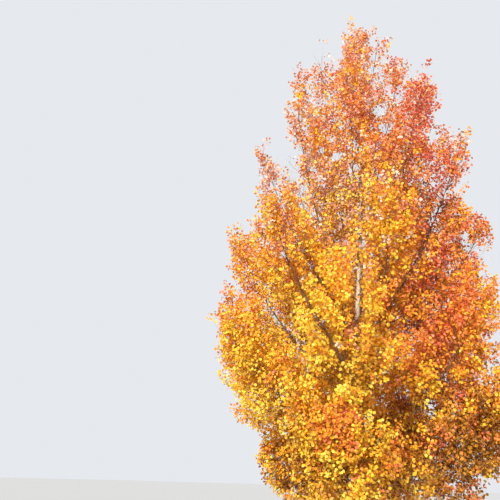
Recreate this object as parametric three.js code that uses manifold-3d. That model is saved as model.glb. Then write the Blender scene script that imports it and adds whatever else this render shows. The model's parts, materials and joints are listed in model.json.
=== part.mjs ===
// A quaking poplar in autumn leaf: a straight trunk, tiers of rising boughs, and the leafy masses they carry.
// Lengths are millimetres and angles are degrees. +Z is up, +X is the crown's right side and -Y its front.
// The origin is the middle of the flat cut under the trunk, at ground level.
import * as THREE from "three";
import { mergeVertices } from "three/addons/utils/BufferGeometryUtils.js";
import Module from "manifold-3d";

const wasm = await Module();
wasm.setup();

// Trunk. The height is that of its tip, where the leader goes on. Its rings lie closer towards the foot.
const TRUNK_HEIGHT = 10600;
const TRUNK_RADIUS = 105;
const TRUNK_TAPER = 1.3;
const TRUNK_TIP_RADIUS = 14;
const TRUNK_LEAN = 270;
const TRUNK_SWAY = 70;
const TRUNK_BOW = 60;
const TRUNK_SIDES = 12;
const TRUNK_STEPS = 16;
const TRUNK_STEP_GROWTH = 1.7;
const FLARE = 75;
const FLARE_HEIGHT = 190;
const FLARE_LOBES = 5;
const FLARE_LOBE_SHARE = 0.28;

// Boughs. A bough's radius is a share of the trunk's, and it is thicker by a collar where it leaves it.
const BOUGH_SHARE = 0.4;
const BOUGH_TIP_RADIUS = 12;
const BOUGH_SIDES = 5;
const BOUGH_STEPS = 3;
const BOUGH_WAVE = 0.025;
const BEND_OUT = 0.62;
const BEND_UP = 0.38;
const COLLAR = 0.45;
const COLLAR_LENGTH = 90;
const SEAT_GAP = 0.3;

// Tiers of boughs, from the lowest up. root: the heights between which they leave the trunk.
// reach and top: how far out and how high their stems end, on the crown's left side and on its right.
// bare: the share of a limb that is a bough without leaves, or 0 where the stem leaves the trunk itself.
// leafy: the share from which a stem carries twigs. spread: half a mass's width, on the left and on the right.
const TIERS = [
  {
    name: "skirt",
    count: 5,
    turn: 270,
    root: [900, 1350],
    reach: [1580, 2550],
    top: [1800, 2350],
    bare: 0.26,
    leafy: 0.26,
    spread: [880, 1050],
    colour: 0xe0a81c,
  },
  {
    name: "low",
    count: 6,
    turn: 330,
    root: [1750, 2350],
    reach: [2700, 2600],
    top: [3800, 4400],
    bare: 0.3,
    leafy: 0.3,
    spread: [980, 1020],
    colour: 0xe8a322,
  },
  {
    name: "middle",
    count: 6,
    turn: 172,
    root: [2850, 3450],
    reach: [2480, 2500],
    top: [6150, 6050],
    bare: 0.34,
    leafy: 0.34,
    spread: [920, 960],
    colour: 0xee9a2a,
  },
  {
    name: "high",
    count: 6,
    turn: 7,
    root: [3850, 4350],
    reach: [2000, 2500],
    top: [8300, 8650],
    bare: 0.38,
    leafy: 0.38,
    spread: [520, 820],
    colour: 0xec8334,
  },
  {
    name: "upper",
    count: 5,
    turn: 346,
    root: [5300, 6400],
    reach: [1300, 1650],
    top: [9750, 9350],
    bare: 0,
    leafy: 0.24,
    spread: [600, 760],
    colour: 0xe87440,
  },
  {
    name: "top",
    count: 4,
    turn: 18,
    root: [7000, 8600],
    reach: [900, 1000],
    top: [10500, 10550],
    bare: 0,
    leafy: 0.2,
    spread: [560, 600],
    colour: 0xe27a4c,
  },
];
const LEADER = { name: "leader", top: 11420, spread: 520, colour: 0xdf7f52 };
const AZIMUTH_SCATTER = 22;
const REACH_SCATTER = 0.16;
const TOP_SCATTER = 420;
const ROOT_STAGGER = 0.55;

// Foliage. A mass's space is a flame round its stem: widest a third of the way up, shallow on its outer side.
const FLAME_WIDEST = 0.3;
const FLAME_SPAN = 0.85;
const FLAME_LEAST = 0.2;
const OUTER_SHARE = 0.42;
const UPRIGHT_SHARE = 1.25;
const SPACE_SAMPLES = 9;
const SKIN = 1.25;
const CLEARANCE = 2.5;

// Stems and twigs are three-sided. A twig's radius is a share of its stem's. Twigs lean less near the tip.
const STEM_SIDES = 3;
const STEM_STEPS = 3;
const STEM_TIP_RADIUS = 12;
const TWIGS = 6;
const FIRST_TWIG = 0.4;
const TWIG_SHARE = 0.5;
const TWIG_TIP_RADIUS = 7;
const TWIG_LEAN = [66, 38];
const SHORTEST_TWIG = 60;
const TWIG_REACHES = [1, 0.8];
const GOLDEN_ANGLE = 137.508;
const ROOM_STEP = 20;

// A leaf stands for a spray of real ones. Its blade hangs near upright, as a poplar's does on its flat stalk.
const LEAF_LENGTH = [440, 700];
const LEAF_SCATTER = 0.1;
const LEAF_SIZES = [1, 0.85, 0.7];
const LEAF_WIDTH = 0.88;
const LEAF_THICKNESS = 0.035;
const LEAF_WIDEST = 0.55;
const LEAF_ANGLES = [64, 76, 54];
const STALK_RADIUS = 3;
const BLADE_STEEPEST = 0.35;
const SIDE_LEAVES = [0.3, 0.75];
const FACE_ANGLES = [60, -60, 180];
const TIP_LEAF_AT = 0.985;
const SEED = 41;
const SEED_STEP = 17;

const BARK = { colour: 0xcfc7b0, roughness: 0.75 };
const BOUGH_BARK = { colour: 0xb9a98a, roughness: 0.8 };
const LEAF_ROUGHNESS = 0.55;

// The step along a curve for its slope, and the distance under which two points are one.
const CURVE_STEP = 0.001;
const TINY = 0.001;

const radians = THREE.MathUtils.degToRad;
const mix = THREE.MathUtils.lerp;
const vector = (x, y, z) => new THREE.Vector3(x, y, z);

// A seeded run of numbers from 0 to 1.
function seeded(seed) {
  const modulus = 4294967296;
  let state = (seed * 2654435761) % modulus;
  return () => {
    state = (state * 1664525 + 1013904223) % modulus;
    return state / modulus;
  };
}

// A direction of unit length at any turn, with no more than so much of it upward or downward.
function anyDirection(random, steepest) {
  const height = steepest * (2 * random() - 1);
  const angle = 2 * Math.PI * random();
  const flat = Math.sqrt(1 - height * height);
  return vector(flat * Math.cos(angle), flat * Math.sin(angle), height);
}

// The part of a direction that is square to an axis, at unit length.
function squareTo(direction, axis) {
  return direction.clone().addScaledVector(axis, -direction.dot(axis)).normalize();
}

// The trunk's middle at a height: it leans right a little and sways back on itself.
function trunkAxis(height) {
  const share = height / TRUNK_HEIGHT;
  const x = TRUNK_LEAN * share - TRUNK_SWAY * Math.sin(2 * Math.PI * share);
  return vector(x, TRUNK_BOW * Math.sin(Math.PI * share), height);
}

function trunkRadius(height) {
  const share = Math.min(1, height / TRUNK_HEIGHT);
  return Math.max(TRUNK_TIP_RADIUS, TRUNK_RADIUS * Math.pow(1 - share, TRUNK_TAPER));
}

// How far the root flare stands out of the trunk at a height, in lobes round it.
function rootFlare(height, angle) {
  const lobes = 1 + FLARE_LOBE_SHARE * Math.cos(FLARE_LOBES * angle);
  return FLARE * lobes * Math.exp(-height / FLARE_HEIGHT);
}

// A closed cylinder, or a cone if pointed, whose points are moved one by one. place gets a point's share of
// the height and its place on the unit circle, or the circle's middle for a cone's tip and a flat end's centre.
function shapedCylinder(sides, steps, pointed, place) {
  const geometry = new THREE.CylinderGeometry(pointed ? 0 : 1, 1, 1, sides, steps);
  const points = geometry.getAttribute("position");
  const point = vector(0, 0, 0);
  for (let i = 0; i < points.count; i++) {
    point.fromBufferAttribute(points, i);
    const size = Math.hypot(point.x, point.z);
    const toCircle = size > TINY ? 1 / size : 0;
    const moved = place(0.5 + point.y, point.x * toCircle, point.z * toCircle);
    points.setXYZ(i, moved.x, moved.y, moved.z);
  }
  return geometry;
}

// The trunk, standing on a level cut. Its rings lie closer together towards the foot. extra widens it all over.
function trunkGeometry(extra) {
  return shapedCylinder(TRUNK_SIDES, TRUNK_STEPS, false, (share, x, z) => {
    const height = TRUNK_HEIGHT * Math.pow(share, TRUNK_STEP_GROWTH);
    const radius = trunkRadius(height) + rootFlare(height, Math.atan2(-z, x)) + extra;
    return trunkAxis(height).add(vector(x * radius, -z * radius, 0));
  });
}

// A limb's line: out of the trunk at a slant, then steeper and steeper to its top, with a slight sideways wave.
class LimbCurve extends THREE.Curve {
  constructor(root, azimuth, reach, top, wave) {
    super();
    this.root = root;
    this.out = vector(Math.cos(radians(azimuth)), Math.sin(radians(azimuth)), 0);
    this.side = vector(-this.out.y, this.out.x, 0);
    this.reach = reach;
    this.rise = top - root.z;
    this.wave = wave;
  }

  getPoint(t, target = vector(0, 0, 0)) {
    const outward = 2 * t * (1 - t) * BEND_OUT + t * t;
    const upward = 2 * t * (1 - t) * BEND_UP + t * t;
    return target
      .copy(this.root)
      .addScaledVector(this.out, outward * this.reach)
      .addScaledVector(this.side, this.wave * Math.sin(2 * Math.PI * t))
      .add(vector(0, 0, upward * this.rise));
  }

  getTangent(t, target = vector(0, 0, 0)) {
    const before = this.getPoint(Math.max(0, t - CURVE_STEP));
    return target.copy(this.getPoint(Math.min(1, t + CURVE_STEP))).sub(before).normalize();
  }
}

// One limb of a tier. Its scatter fades towards the crown's left and right, whose outline the tier sets.
function tierLimb(tier, k, random) {
  const even = tier.turn + (360 * k) / tier.count;
  const freedom = Math.abs(Math.sin(radians(even)));
  const azimuth = even + AZIMUTH_SCATTER * freedom * (random() - 0.5);
  const rightness = (1 + Math.cos(radians(azimuth))) / 2;
  const staggered = ROOT_STAGGER * (k % 2) + ((1 - ROOT_STAGGER) * k) / tier.count;
  const root = trunkAxis(mix(tier.root[0], tier.root[1], staggered));
  const reachScatter = 1 + REACH_SCATTER * freedom * (random() - 0.5);
  const topScatter = TOP_SCATTER * freedom * (random() - 0.5);
  const reach = mix(tier.reach[0], tier.reach[1], rightness) * reachScatter;
  const top = mix(tier.top[0], tier.top[1], rightness) + topScatter;
  const wave = BOUGH_WAVE * reach * (random() < 0.5 ? -1 : 1);
  return {
    name: tier.name + "_" + (k + 1),
    curve: new LimbCurve(root, azimuth, reach, top, wave),
    radius: BOUGH_SHARE * trunkRadius(root.z),
    bare: tier.bare,
    leafy: tier.leafy,
    spread: mix(tier.spread[0], tier.spread[1], rightness),
    colour: tier.colour,
    outer: OUTER_SHARE,
  };
}

// The leader goes on from the trunk's tip, straight up, with foliage evenly round it.
function leaderLimb() {
  return {
    name: LEADER.name,
    curve: new LimbCurve(trunkAxis(TRUNK_HEIGHT), 0, 0, LEADER.top, 0),
    radius: TRUNK_TIP_RADIUS,
    bare: 0,
    leafy: 0,
    spread: LEADER.spread,
    colour: LEADER.colour,
    outer: 1,
  };
}

// Every limb of the tree, in tiers, the leader last.
function growLimbs() {
  const random = seeded(SEED);
  const tiers = TIERS.map((tier) => Array.from({ length: tier.count }, (_, k) => tierLimb(tier, k, random)));
  const limbs = [...tiers.flat(), leaderLimb()];
  for (const limb of limbs) limb.space = massSpace(limb);
  return limbs;
}

// How wide a mass is at a share of the way from its foot to its tip.
function flame(share) {
  const offset = (share - FLAME_WIDEST) / FLAME_SPAN;
  return Math.sqrt(Math.max(FLAME_LEAST * FLAME_LEAST, 1 - offset * offset));
}

// A mass's space: points along its stem, each with the half-width of the flame there.
function massSpace(limb) {
  return Array.from({ length: SPACE_SAMPLES }, (_, i) => {
    const share = i / (SPACE_SAMPLES - 1);
    return { centre: limb.curve.getPoint(mix(limb.leafy, 1, share)), width: limb.spread * flame(share) };
  });
}

// How deep a point lies in a mass's space: 0 on its stem, 1 on its skin.
function depthIn(limb, point) {
  const offset = vector(0, 0, 0);
  const depths = limb.space.map(({ centre, width }) => {
    offset.subVectors(point, centre);
    const outward = offset.dot(limb.curve.out);
    const shallow = outward < 0 ? 1 : limb.outer;
    return Math.hypot(outward / shallow, offset.dot(limb.curve.side), offset.z / UPRIGHT_SHARE) / width;
  });
  return Math.min(...depths);
}

// Whether points keep to a mass's own space, each deeper in it than in any neighbour's.
function keepsToSpace(limb, limbs, points) {
  return points.every((point) => {
    const own = depthIn(limb, point);
    return own < SKIN && limbs.every((other) => other === limb || depthIn(other, point) > own);
  });
}

// A tapering limb round a curve, from one share of its length to another.
function limbGeometry(curve, from, to, sides, steps, radiusAt) {
  return shapedCylinder(sides, steps, false, (share, x, z) => {
    const t = mix(from, to, share);
    const tangent = curve.getTangent(t);
    const normal = squareTo(curve.side, tangent);
    const binormal = normal.clone().cross(tangent);
    return curve
      .getPoint(t)
      .addScaledVector(normal, x * radiusAt(t))
      .addScaledVector(binormal, z * radiusAt(t));
  });
}

// A limb's radius along its curve, without and with the collar where it leaves the trunk.
const limbRadius = (limb, t) => mix(limb.radius, BOUGH_TIP_RADIUS, t);

function boughRadius(limb, t) {
  const length = limb.curve.reach + limb.curve.rise;
  return limbRadius(limb, t) * (1 + COLLAR * Math.exp((-t * length) / COLLAR_LENGTH));
}

function stemRadius(limb, t) {
  return mix(limbRadius(limb, limb.bare), STEM_TIP_RADIUS, (t - limb.bare) / (1 - limb.bare));
}

// A point on the middle line of a mass's stem, which runs straight from ring to ring.
function stemPoint(limb, t) {
  const along = ((t - limb.bare) / (1 - limb.bare)) * STEM_STEPS;
  const ring = Math.min(STEM_STEPS - 1, Math.floor(along));
  const ringAt = (i) => limb.curve.getPoint(mix(limb.bare, 1, i / STEM_STEPS));
  return ringAt(ring).lerp(ringAt(ring + 1), along - ring);
}

// A three-sided spray: a straight twig that widens at its end into a flat blade with a low ridge and a point.
// With no wood it is a single leaf, rooted by its stalk inside what it grows from. A three-sided section of
// radius 1 is the square root of 3 wide and 1.5 thick.
function sprayGeometry({ start, direction, facing, wood, root, leaf }) {
  const ridge = squareTo(facing, direction);
  const across = direction.clone().cross(ridge);
  const blade = { wide: (LEAF_WIDTH * leaf) / Math.sqrt(3), thick: (LEAF_THICKNESS * leaf) / 1.5 };
  const rings = [
    { at: 0, wide: root, thick: root },
    { at: wood, wide: TWIG_TIP_RADIUS, thick: TWIG_TIP_RADIUS },
    { at: wood + LEAF_WIDEST * leaf, ...blade },
    { at: wood + leaf, wide: 0, thick: 0 },
  ].filter((ring, i) => i !== 1 || wood > 0);
  return shapedCylinder(3, rings.length - 1, true, (share, x, z) => {
    const ring = rings[Math.round(share * (rings.length - 1))];
    return start
      .clone()
      .addScaledVector(direction, ring.at)
      .addScaledVector(across, x * ring.wide)
      .addScaledVector(ridge, z * ring.thick);
  });
}

// A direction that leans from an axis towards another direction by an angle.
function leaned(axis, towards, angle) {
  return axis
    .clone()
    .multiplyScalar(Math.cos(radians(angle)))
    .addScaledVector(towards, Math.sin(radians(angle)));
}

// How far a twig can grow from its stem before it leaves the mass's space.
function roomAlong(limb, limbs, start, direction) {
  const pointAt = (distance) => start.clone().addScaledVector(direction, distance);
  const inside = (distance) => keepsToSpace(limb, limbs, [pointAt(distance)]);
  let room = 0;
  while (room < 2 * limb.spread && inside(room + ROOM_STEP)) room += ROOM_STEP;
  return room;
}

// The sizes at which each twig of a mass is tried, with its end leaf. The twigs wind round their stem at the
// golden angle, and each reaches towards the skin of the mass's space.
function twigPlans(limb, limbs, random) {
  const turn = 360 * random();
  return Array.from({ length: TWIGS }, (_, k) => {
    const share = (k + FIRST_TWIG) / TWIGS;
    const t = mix(limb.leafy, 1, share);
    const start = stemPoint(limb, t);
    const tangent = limb.curve.getTangent(t);
    const outward = limb.curve.side.clone().cross(tangent).normalize();
    const round = leaned(outward, limb.curve.side, turn + GOLDEN_ANGLE * k);
    const direction = leaned(tangent, round, mix(TWIG_LEAN[0], TWIG_LEAN[1], share)).normalize();
    const room = roomAlong(limb, limbs, start, direction);
    const root = TWIG_SHARE * stemRadius(limb, t);
    const longest = mix(LEAF_LENGTH[1], LEAF_LENGTH[0], share) * (1 + LEAF_SCATTER * (2 * random() - 1));
    return LEAF_SIZES.flatMap((size) =>
      TWIG_REACHES.map((reach) => {
        const leaf = longest * size;
        const wood = Math.max(SHORTEST_TWIG, room * reach - leaf);
        return { start, direction, facing: anyDirection(random, BLADE_STEEPEST), wood, root, leaf };
      }),
    );
  });
}

// The same for a side leaf, which leaves its twig through the middle of one of its three faces.
function sideLeafPlans(twig, share, firstFace) {
  const start = twig.start.clone().addScaledVector(twig.direction, twig.wood * share);
  const ridge = squareTo(twig.facing, twig.direction);
  const across = twig.direction.clone().cross(ridge);
  const faces = FACE_ANGLES.map((angle) => leaned(ridge, across, angle));
  const turned = faces.map((_, i) => faces[(firstFace + i) % faces.length]);
  return LEAF_SIZES.flatMap((size) =>
    turned.flatMap((face) =>
      LEAF_ANGLES.map((angle) => ({
        start,
        direction: leaned(twig.direction, face, angle),
        facing: twig.direction.clone().cross(face),
        wood: 0,
        root: STALK_RADIUS,
        leaf: twig.leaf * size,
      })),
    ),
  );
}

// The same for the leaf on a stem's tip.
function tipLeafPlans(limb, random) {
  return LEAF_SIZES.map((size) => ({
    start: stemPoint(limb, TIP_LEAF_AT),
    direction: limb.curve.getTangent(1),
    facing: anyDirection(random, BLADE_STEEPEST),
    wood: 0,
    root: STALK_RADIUS,
    leaf: LEAF_LENGTH[0] * size,
  }));
}

// A three.js geometry as a solid for joining and cutting.
function solidOf(geometry) {
  const bare = new THREE.BufferGeometry();
  bare.setAttribute("position", geometry.getAttribute("position"));
  bare.setIndex(geometry.index);
  const merged = mergeVertices(bare, TINY);
  const vertProperties = merged.getAttribute("position").array;
  const triVerts = new Uint32Array(merged.index.array);
  return new wasm.Manifold(new wasm.Mesh({ numProp: 3, vertProperties, triVerts }));
}

// A solid as a geometry whose own origin is at a point.
function geometryOf(solid, origin) {
  const mesh = solid.getMesh();
  const geometry = new THREE.BufferGeometry();
  geometry.setAttribute("position", new THREE.BufferAttribute(mesh.vertProperties, 3));
  geometry.setIndex(new THREE.BufferAttribute(mesh.triVerts, 1));
  geometry.translate(-origin.x, -origin.y, -origin.z);
  geometry.computeVertexNormals();
  return geometry;
}

// A solid with its box, so that far pairs need no measuring.
const boxed = (solid) => ({ solid, box: solid.boundingBox() });

function boxesNear(a, b) {
  return [0, 1, 2].every((i) => a.min[i] < b.max[i] + CLEARANCE && b.min[i] < a.max[i] + CLEARANCE);
}

function touches(piece, others) {
  return others.some(
    (other) => boxesNear(piece.box, other.box) && piece.solid.minGap(other.solid, CLEARANCE) < CLEARANCE,
  );
}

// The first of a spray's plans that keeps to its mass's space and clear of the rest. With none, it is left out.
function placeSpray(limb, limbs, blocked, plans) {
  for (const plan of plans) {
    const geometry = sprayGeometry(plan);
    const points = geometry.getAttribute("position");
    const corner = (_, i) => vector(0, 0, 0).fromBufferAttribute(points, i);
    const corners = Array.from({ length: points.count }, corner);
    if (!keepsToSpace(limb, limbs, corners)) continue;
    const spray = boxed(solidOf(geometry));
    if (!touches(spray, blocked)) return [{ ...plan, ...spray }];
  }
  return [];
}

// The largest body of a solid: loose scraps go.
function wholeBody(solid) {
  return solid.decompose().sort((a, b) => b.volume() - a.volume())[0];
}

// A bough: from a saddle cut round the trunk to the flat end where its mass begins.
function boughSolid(limb, trunkCutter) {
  const radiusAt = (t) => boughRadius(limb, t);
  const whole = limbGeometry(limb.curve, 0, limb.bare, BOUGH_SIDES, BOUGH_STEPS, radiusAt);
  return wholeBody(solidOf(whole).subtract(trunkCutter));
}

// A mass's stem: from its bough's tip, or from the trunk, to the mass's own tip.
function stemSolid(limb, trunkCutter) {
  const { curve, bare } = limb;
  const pace = curve.getPoint(bare + CURVE_STEP).distanceTo(curve.getPoint(bare)) / CURVE_STEP;
  const onTrunk = bare === 0 && curve.reach > 0;
  const from = onTrunk ? 0 : bare + SEAT_GAP / pace;
  const whole = solidOf(limbGeometry(curve, from, 1, STEM_SIDES, STEM_STEPS, (t) => stemRadius(limb, t)));
  return onTrunk ? wholeBody(whole.subtract(trunkCutter)) : whole;
}

// A mass: its stem with the twigs and leaves that keep to its space and clear of the rest, fused into one.
function massSolid(limb, limbs, stem, around, seed) {
  const random = seeded(seed);
  const leaves = placeSpray(limb, limbs, around, tipLeafPlans(limb, random));
  const twigs = [];
  for (const plans of twigPlans(limb, limbs, random)) {
    twigs.push(...placeSpray(limb, limbs, [...around, ...leaves, ...twigs], plans));
  }
  for (const twig of twigs) {
    const others = twigs.filter((one) => one !== twig);
    SIDE_LEAVES.forEach((share, face) => {
      const blocked = [...around, stem, ...leaves, ...others];
      leaves.push(...placeSpray(limb, limbs, blocked, sideLeafPlans(twig, share, face)));
    });
  }
  return wholeBody(wasm.Manifold.union([stem, ...twigs, ...leaves].map((one) => one.solid)));
}

function namedMesh(name, geometry, color, roughness) {
  const material = new THREE.MeshStandardMaterial({ color, roughness, metalness: 0, flatShading: true });
  const mesh = new THREE.Mesh(geometry, material);
  mesh.name = name;
  return mesh;
}

// The whole tree: the trunk, and a group for each limb, placed where the limb leaves the trunk.
function buildTree() {
  const tree = new THREE.Group();
  tree.name = "poplar_tree";
  tree.add(namedMesh("trunk", trunkGeometry(0), BARK.colour, BARK.roughness));
  const trunkCutter = solidOf(trunkGeometry(SEAT_GAP));
  const limbs = growLimbs();
  const groups = limbs.map((limb) => {
    const group = new THREE.Group();
    group.name = "limb_" + limb.name;
    group.position.copy(limb.curve.root);
    tree.add(group);
    return group;
  });
  const wood = [boxed(solidOf(trunkGeometry(0)))];
  limbs.forEach((limb, i) => {
    if (limb.bare === 0) return;
    const bough = boughSolid(limb, trunkCutter);
    wood.push(boxed(bough));
    const geometry = geometryOf(bough, limb.curve.root);
    groups[i].add(namedMesh("bough_" + limb.name, geometry, BOUGH_BARK.colour, BOUGH_BARK.roughness));
  });
  const stems = limbs.map((limb) => boxed(stemSolid(limb, trunkCutter)));
  const masses = [];
  limbs.forEach((limb, i) => {
    const otherStems = stems.filter((_, j) => j !== i);
    const around = [...wood, ...otherStems, ...masses];
    const mass = massSolid(limb, limbs, stems[i], around, SEED + SEED_STEP * (i + 1));
    masses.push(boxed(mass));
    const geometry = geometryOf(mass, limb.curve.root);
    groups[i].add(namedMesh("leaves_" + limb.name, geometry, limb.colour, LEAF_ROUGHNESS));
  });
  return tree;
}

export default buildTree();
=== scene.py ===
"""A quaking poplar in autumn leaf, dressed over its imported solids.

The trunk, the limbs and the masses of leaves follow the rule that made the solids, and go on from there
to finer twigs, shoots and single leaves. Lengths are metres. +Z is up, +X is the crown's right side and
-Y its front.
"""

from __future__ import annotations

import json
import logging
import math
from dataclasses import dataclass, field
from enum import Enum
from typing import Any, ClassVar, Mapping, Sequence

import bpy
import numpy as np
from mathutils import Matrix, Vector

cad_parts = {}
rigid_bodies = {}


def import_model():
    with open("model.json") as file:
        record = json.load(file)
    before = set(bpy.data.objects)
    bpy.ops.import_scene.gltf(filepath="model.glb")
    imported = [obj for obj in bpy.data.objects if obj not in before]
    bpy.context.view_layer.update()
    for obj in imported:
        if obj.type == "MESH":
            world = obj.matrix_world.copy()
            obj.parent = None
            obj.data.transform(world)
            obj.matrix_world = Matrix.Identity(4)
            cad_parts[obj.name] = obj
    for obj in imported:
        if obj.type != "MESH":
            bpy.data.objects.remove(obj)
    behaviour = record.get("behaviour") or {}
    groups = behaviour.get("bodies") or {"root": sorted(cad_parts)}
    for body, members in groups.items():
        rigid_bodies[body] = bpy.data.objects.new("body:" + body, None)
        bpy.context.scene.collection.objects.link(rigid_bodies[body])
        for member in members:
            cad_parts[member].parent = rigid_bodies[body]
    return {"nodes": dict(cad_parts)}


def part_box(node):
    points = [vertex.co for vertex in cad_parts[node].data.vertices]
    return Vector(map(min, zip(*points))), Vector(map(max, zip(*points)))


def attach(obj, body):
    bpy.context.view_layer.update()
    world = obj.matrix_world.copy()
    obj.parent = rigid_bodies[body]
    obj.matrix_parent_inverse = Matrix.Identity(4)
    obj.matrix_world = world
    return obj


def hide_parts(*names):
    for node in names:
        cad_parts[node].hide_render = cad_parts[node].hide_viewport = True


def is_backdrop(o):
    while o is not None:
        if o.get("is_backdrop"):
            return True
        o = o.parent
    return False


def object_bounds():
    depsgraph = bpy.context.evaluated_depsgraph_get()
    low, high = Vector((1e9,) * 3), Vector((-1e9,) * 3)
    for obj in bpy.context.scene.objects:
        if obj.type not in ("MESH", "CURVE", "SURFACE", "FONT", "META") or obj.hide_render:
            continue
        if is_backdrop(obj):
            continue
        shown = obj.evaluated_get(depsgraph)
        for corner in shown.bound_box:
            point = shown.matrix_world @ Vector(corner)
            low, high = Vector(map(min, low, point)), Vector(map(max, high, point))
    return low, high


LOG = logging.getLogger("poplar")
Array = np.ndarray
Colour = tuple[float, float, float]
Triple = tuple[float, float, float]
Span = tuple[float, float]

BODY = "root"
UP = np.array([0.0, 0.0, 1.0])
RIGHT = np.array([1.0, 0.0, 0.0])

# The camera's place, and the key light's angle from straight in front and its fall, in degrees.
VIEWPOINT = (0.0, -12.0, 1.6)
KEY_AIM = (-13.0, -28.0)
GOLDEN_ANGLE = math.radians(137.508)
SEED = 41
STEEP_SHOOT = 0.8
STEEP_GROWTH = 0.9
TWIG_ROUGHNESS = 0.7
LEAF_ROUGHNESS = 0.42
LEAF_SHINE = 0.28
PALE_LEAF_SHINE = 0.5


def linear(code: str) -> Colour:
    """Turns a colour code into linear light.

    Args:
        code: Six hexadecimal digits, as on a screen.

    Returns:
        Red, green and blue, each from 0 to 1.
    """
    shares = [int(code[i : i + 2], 16) / 255 for i in (0, 2, 4)]
    red, green, blue = (s / 12.92 if s <= 0.04045 else ((s + 0.055) / 1.055) ** 2.4 for s in shares)
    return red, green, blue


def mix(low: Any, high: Any, share: Any) -> Any:
    """Gives the value at a share of the way from low to high."""
    return (1 - share) * low + share * high


def unit(vectors: Array) -> Array:
    """Gives vectors their directions at length 1."""
    return vectors / np.maximum(np.linalg.norm(vectors, axis=-1, keepdims=True), 1e-9)


def aside_of(directions: Array, steepest: float) -> Array:
    """Gives a direction off each of some others: up, or to the right where one is steeper than a limit."""
    return np.where(np.abs(directions[:, 2:]) < steepest, UP, RIGHT)


def square_to(vectors: Array, axes: Array) -> Array:
    """Gives the part of each vector that is square to its axis, at length 1."""
    along = np.sum(vectors * axes, axis=-1, keepdims=True)
    return unit(vectors - along * axes)


class NumberRun:
    """The seeded run of numbers that places the limbs, the same as in the part's source."""

    MODULUS = 4294967296
    SEED_FACTOR = 2654435761
    FACTOR = 1664525
    STEP = 1013904223

    def __init__(self, seed: int) -> None:
        """Starts the run at a seed."""
        self.state = (seed * self.SEED_FACTOR) % self.MODULUS

    def next(self) -> float:
        """Gives the next number, from 0 to 1."""
        self.state = (self.state * self.FACTOR + self.STEP) % self.MODULUS
        return self.state / self.MODULUS


class Lattice:
    """Smooth seeded noise through space, for the lie of a surface."""

    SIZE = 4096
    FACTORS = np.array([73856093, 19349663, 83492791])

    def __init__(self, seed: int) -> None:
        """Fills the table of values that the noise runs between."""
        self.values = np.random.default_rng(seed).uniform(-1.0, 1.0, self.SIZE)

    def at(self, points: Array) -> Array:
        """Reads the noise.

        Args:
            points: Places in space, already scaled, with x, y and z last.

        Returns:
            A number from -1 to 1 for each place.
        """
        cell = np.floor(points).astype(np.int64)
        inside = points - cell
        ease = inside * inside * (3 - 2 * inside)
        total = np.zeros(points.shape[:-1])
        for corner in np.ndindex(2, 2, 2):
            row = np.bitwise_xor.reduce((cell + np.array(corner)) * self.FACTORS, axis=-1)
            share = np.prod(np.where(np.array(corner) == 1, ease, 1 - ease), axis=-1)
            total += share * self.values[row % self.SIZE]
        return total


@dataclass(frozen=True)
class Pattern:
    """Cloudy noise on a surface, and where it turns from off to on if it has edges.

    scale counts its features in a metre, stretch multiplies that along x, y and z, and detail is how many
    times a finer layer is added.
    """

    scale: float
    detail: float
    stretch: Triple = (1.0, 1.0, 1.0)
    edges: Span | None = None


class Number:
    """A number that varies over a surface: a shader socket that Python can add, take away and multiply."""

    def __init__(self, graph: ShaderGraph, socket: bpy.types.NodeSocket) -> None:
        """Keeps the socket and the graph that it is in."""
        self.graph = graph
        self.socket = socket

    def _math(self, operation: str, first: Any, second: Any) -> Number:
        """Adds one Math node and gives its result."""
        node = self.graph.node("ShaderNodeMath", {"operation": operation}, {0: first, 1: second})
        return Number(self.graph, node.outputs[0])

    def __add__(self, other: Number | float) -> Number:
        """Adds a number."""
        return self._math("ADD", self, other)

    __radd__ = __add__

    def __sub__(self, other: Number | float) -> Number:
        """Takes a number away."""
        return self._math("SUBTRACT", self, other)

    def __rsub__(self, other: float) -> Number:
        """Takes this away from a number."""
        return self._math("SUBTRACT", other, self)

    def __mul__(self, other: Number | float) -> Number:
        """Multiplies by a number."""
        return self._math("MULTIPLY", self, other)

    __rmul__ = __mul__

    def step(self, low: float, high: float) -> Number:
        """Turns the number into one that rises smoothly from 0 to 1, or falls where low is the greater.

        Args:
            low: Where the result is 0.
            high: Where it is 1.

        Returns:
            The result.
        """
        sockets = {"Value": self, "From Min": low, "From Max": high}
        node = self.graph.node("ShaderNodeMapRange", {"interpolation_type": "SMOOTHSTEP"}, sockets)
        return Number(self.graph, node.outputs[0])


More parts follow.
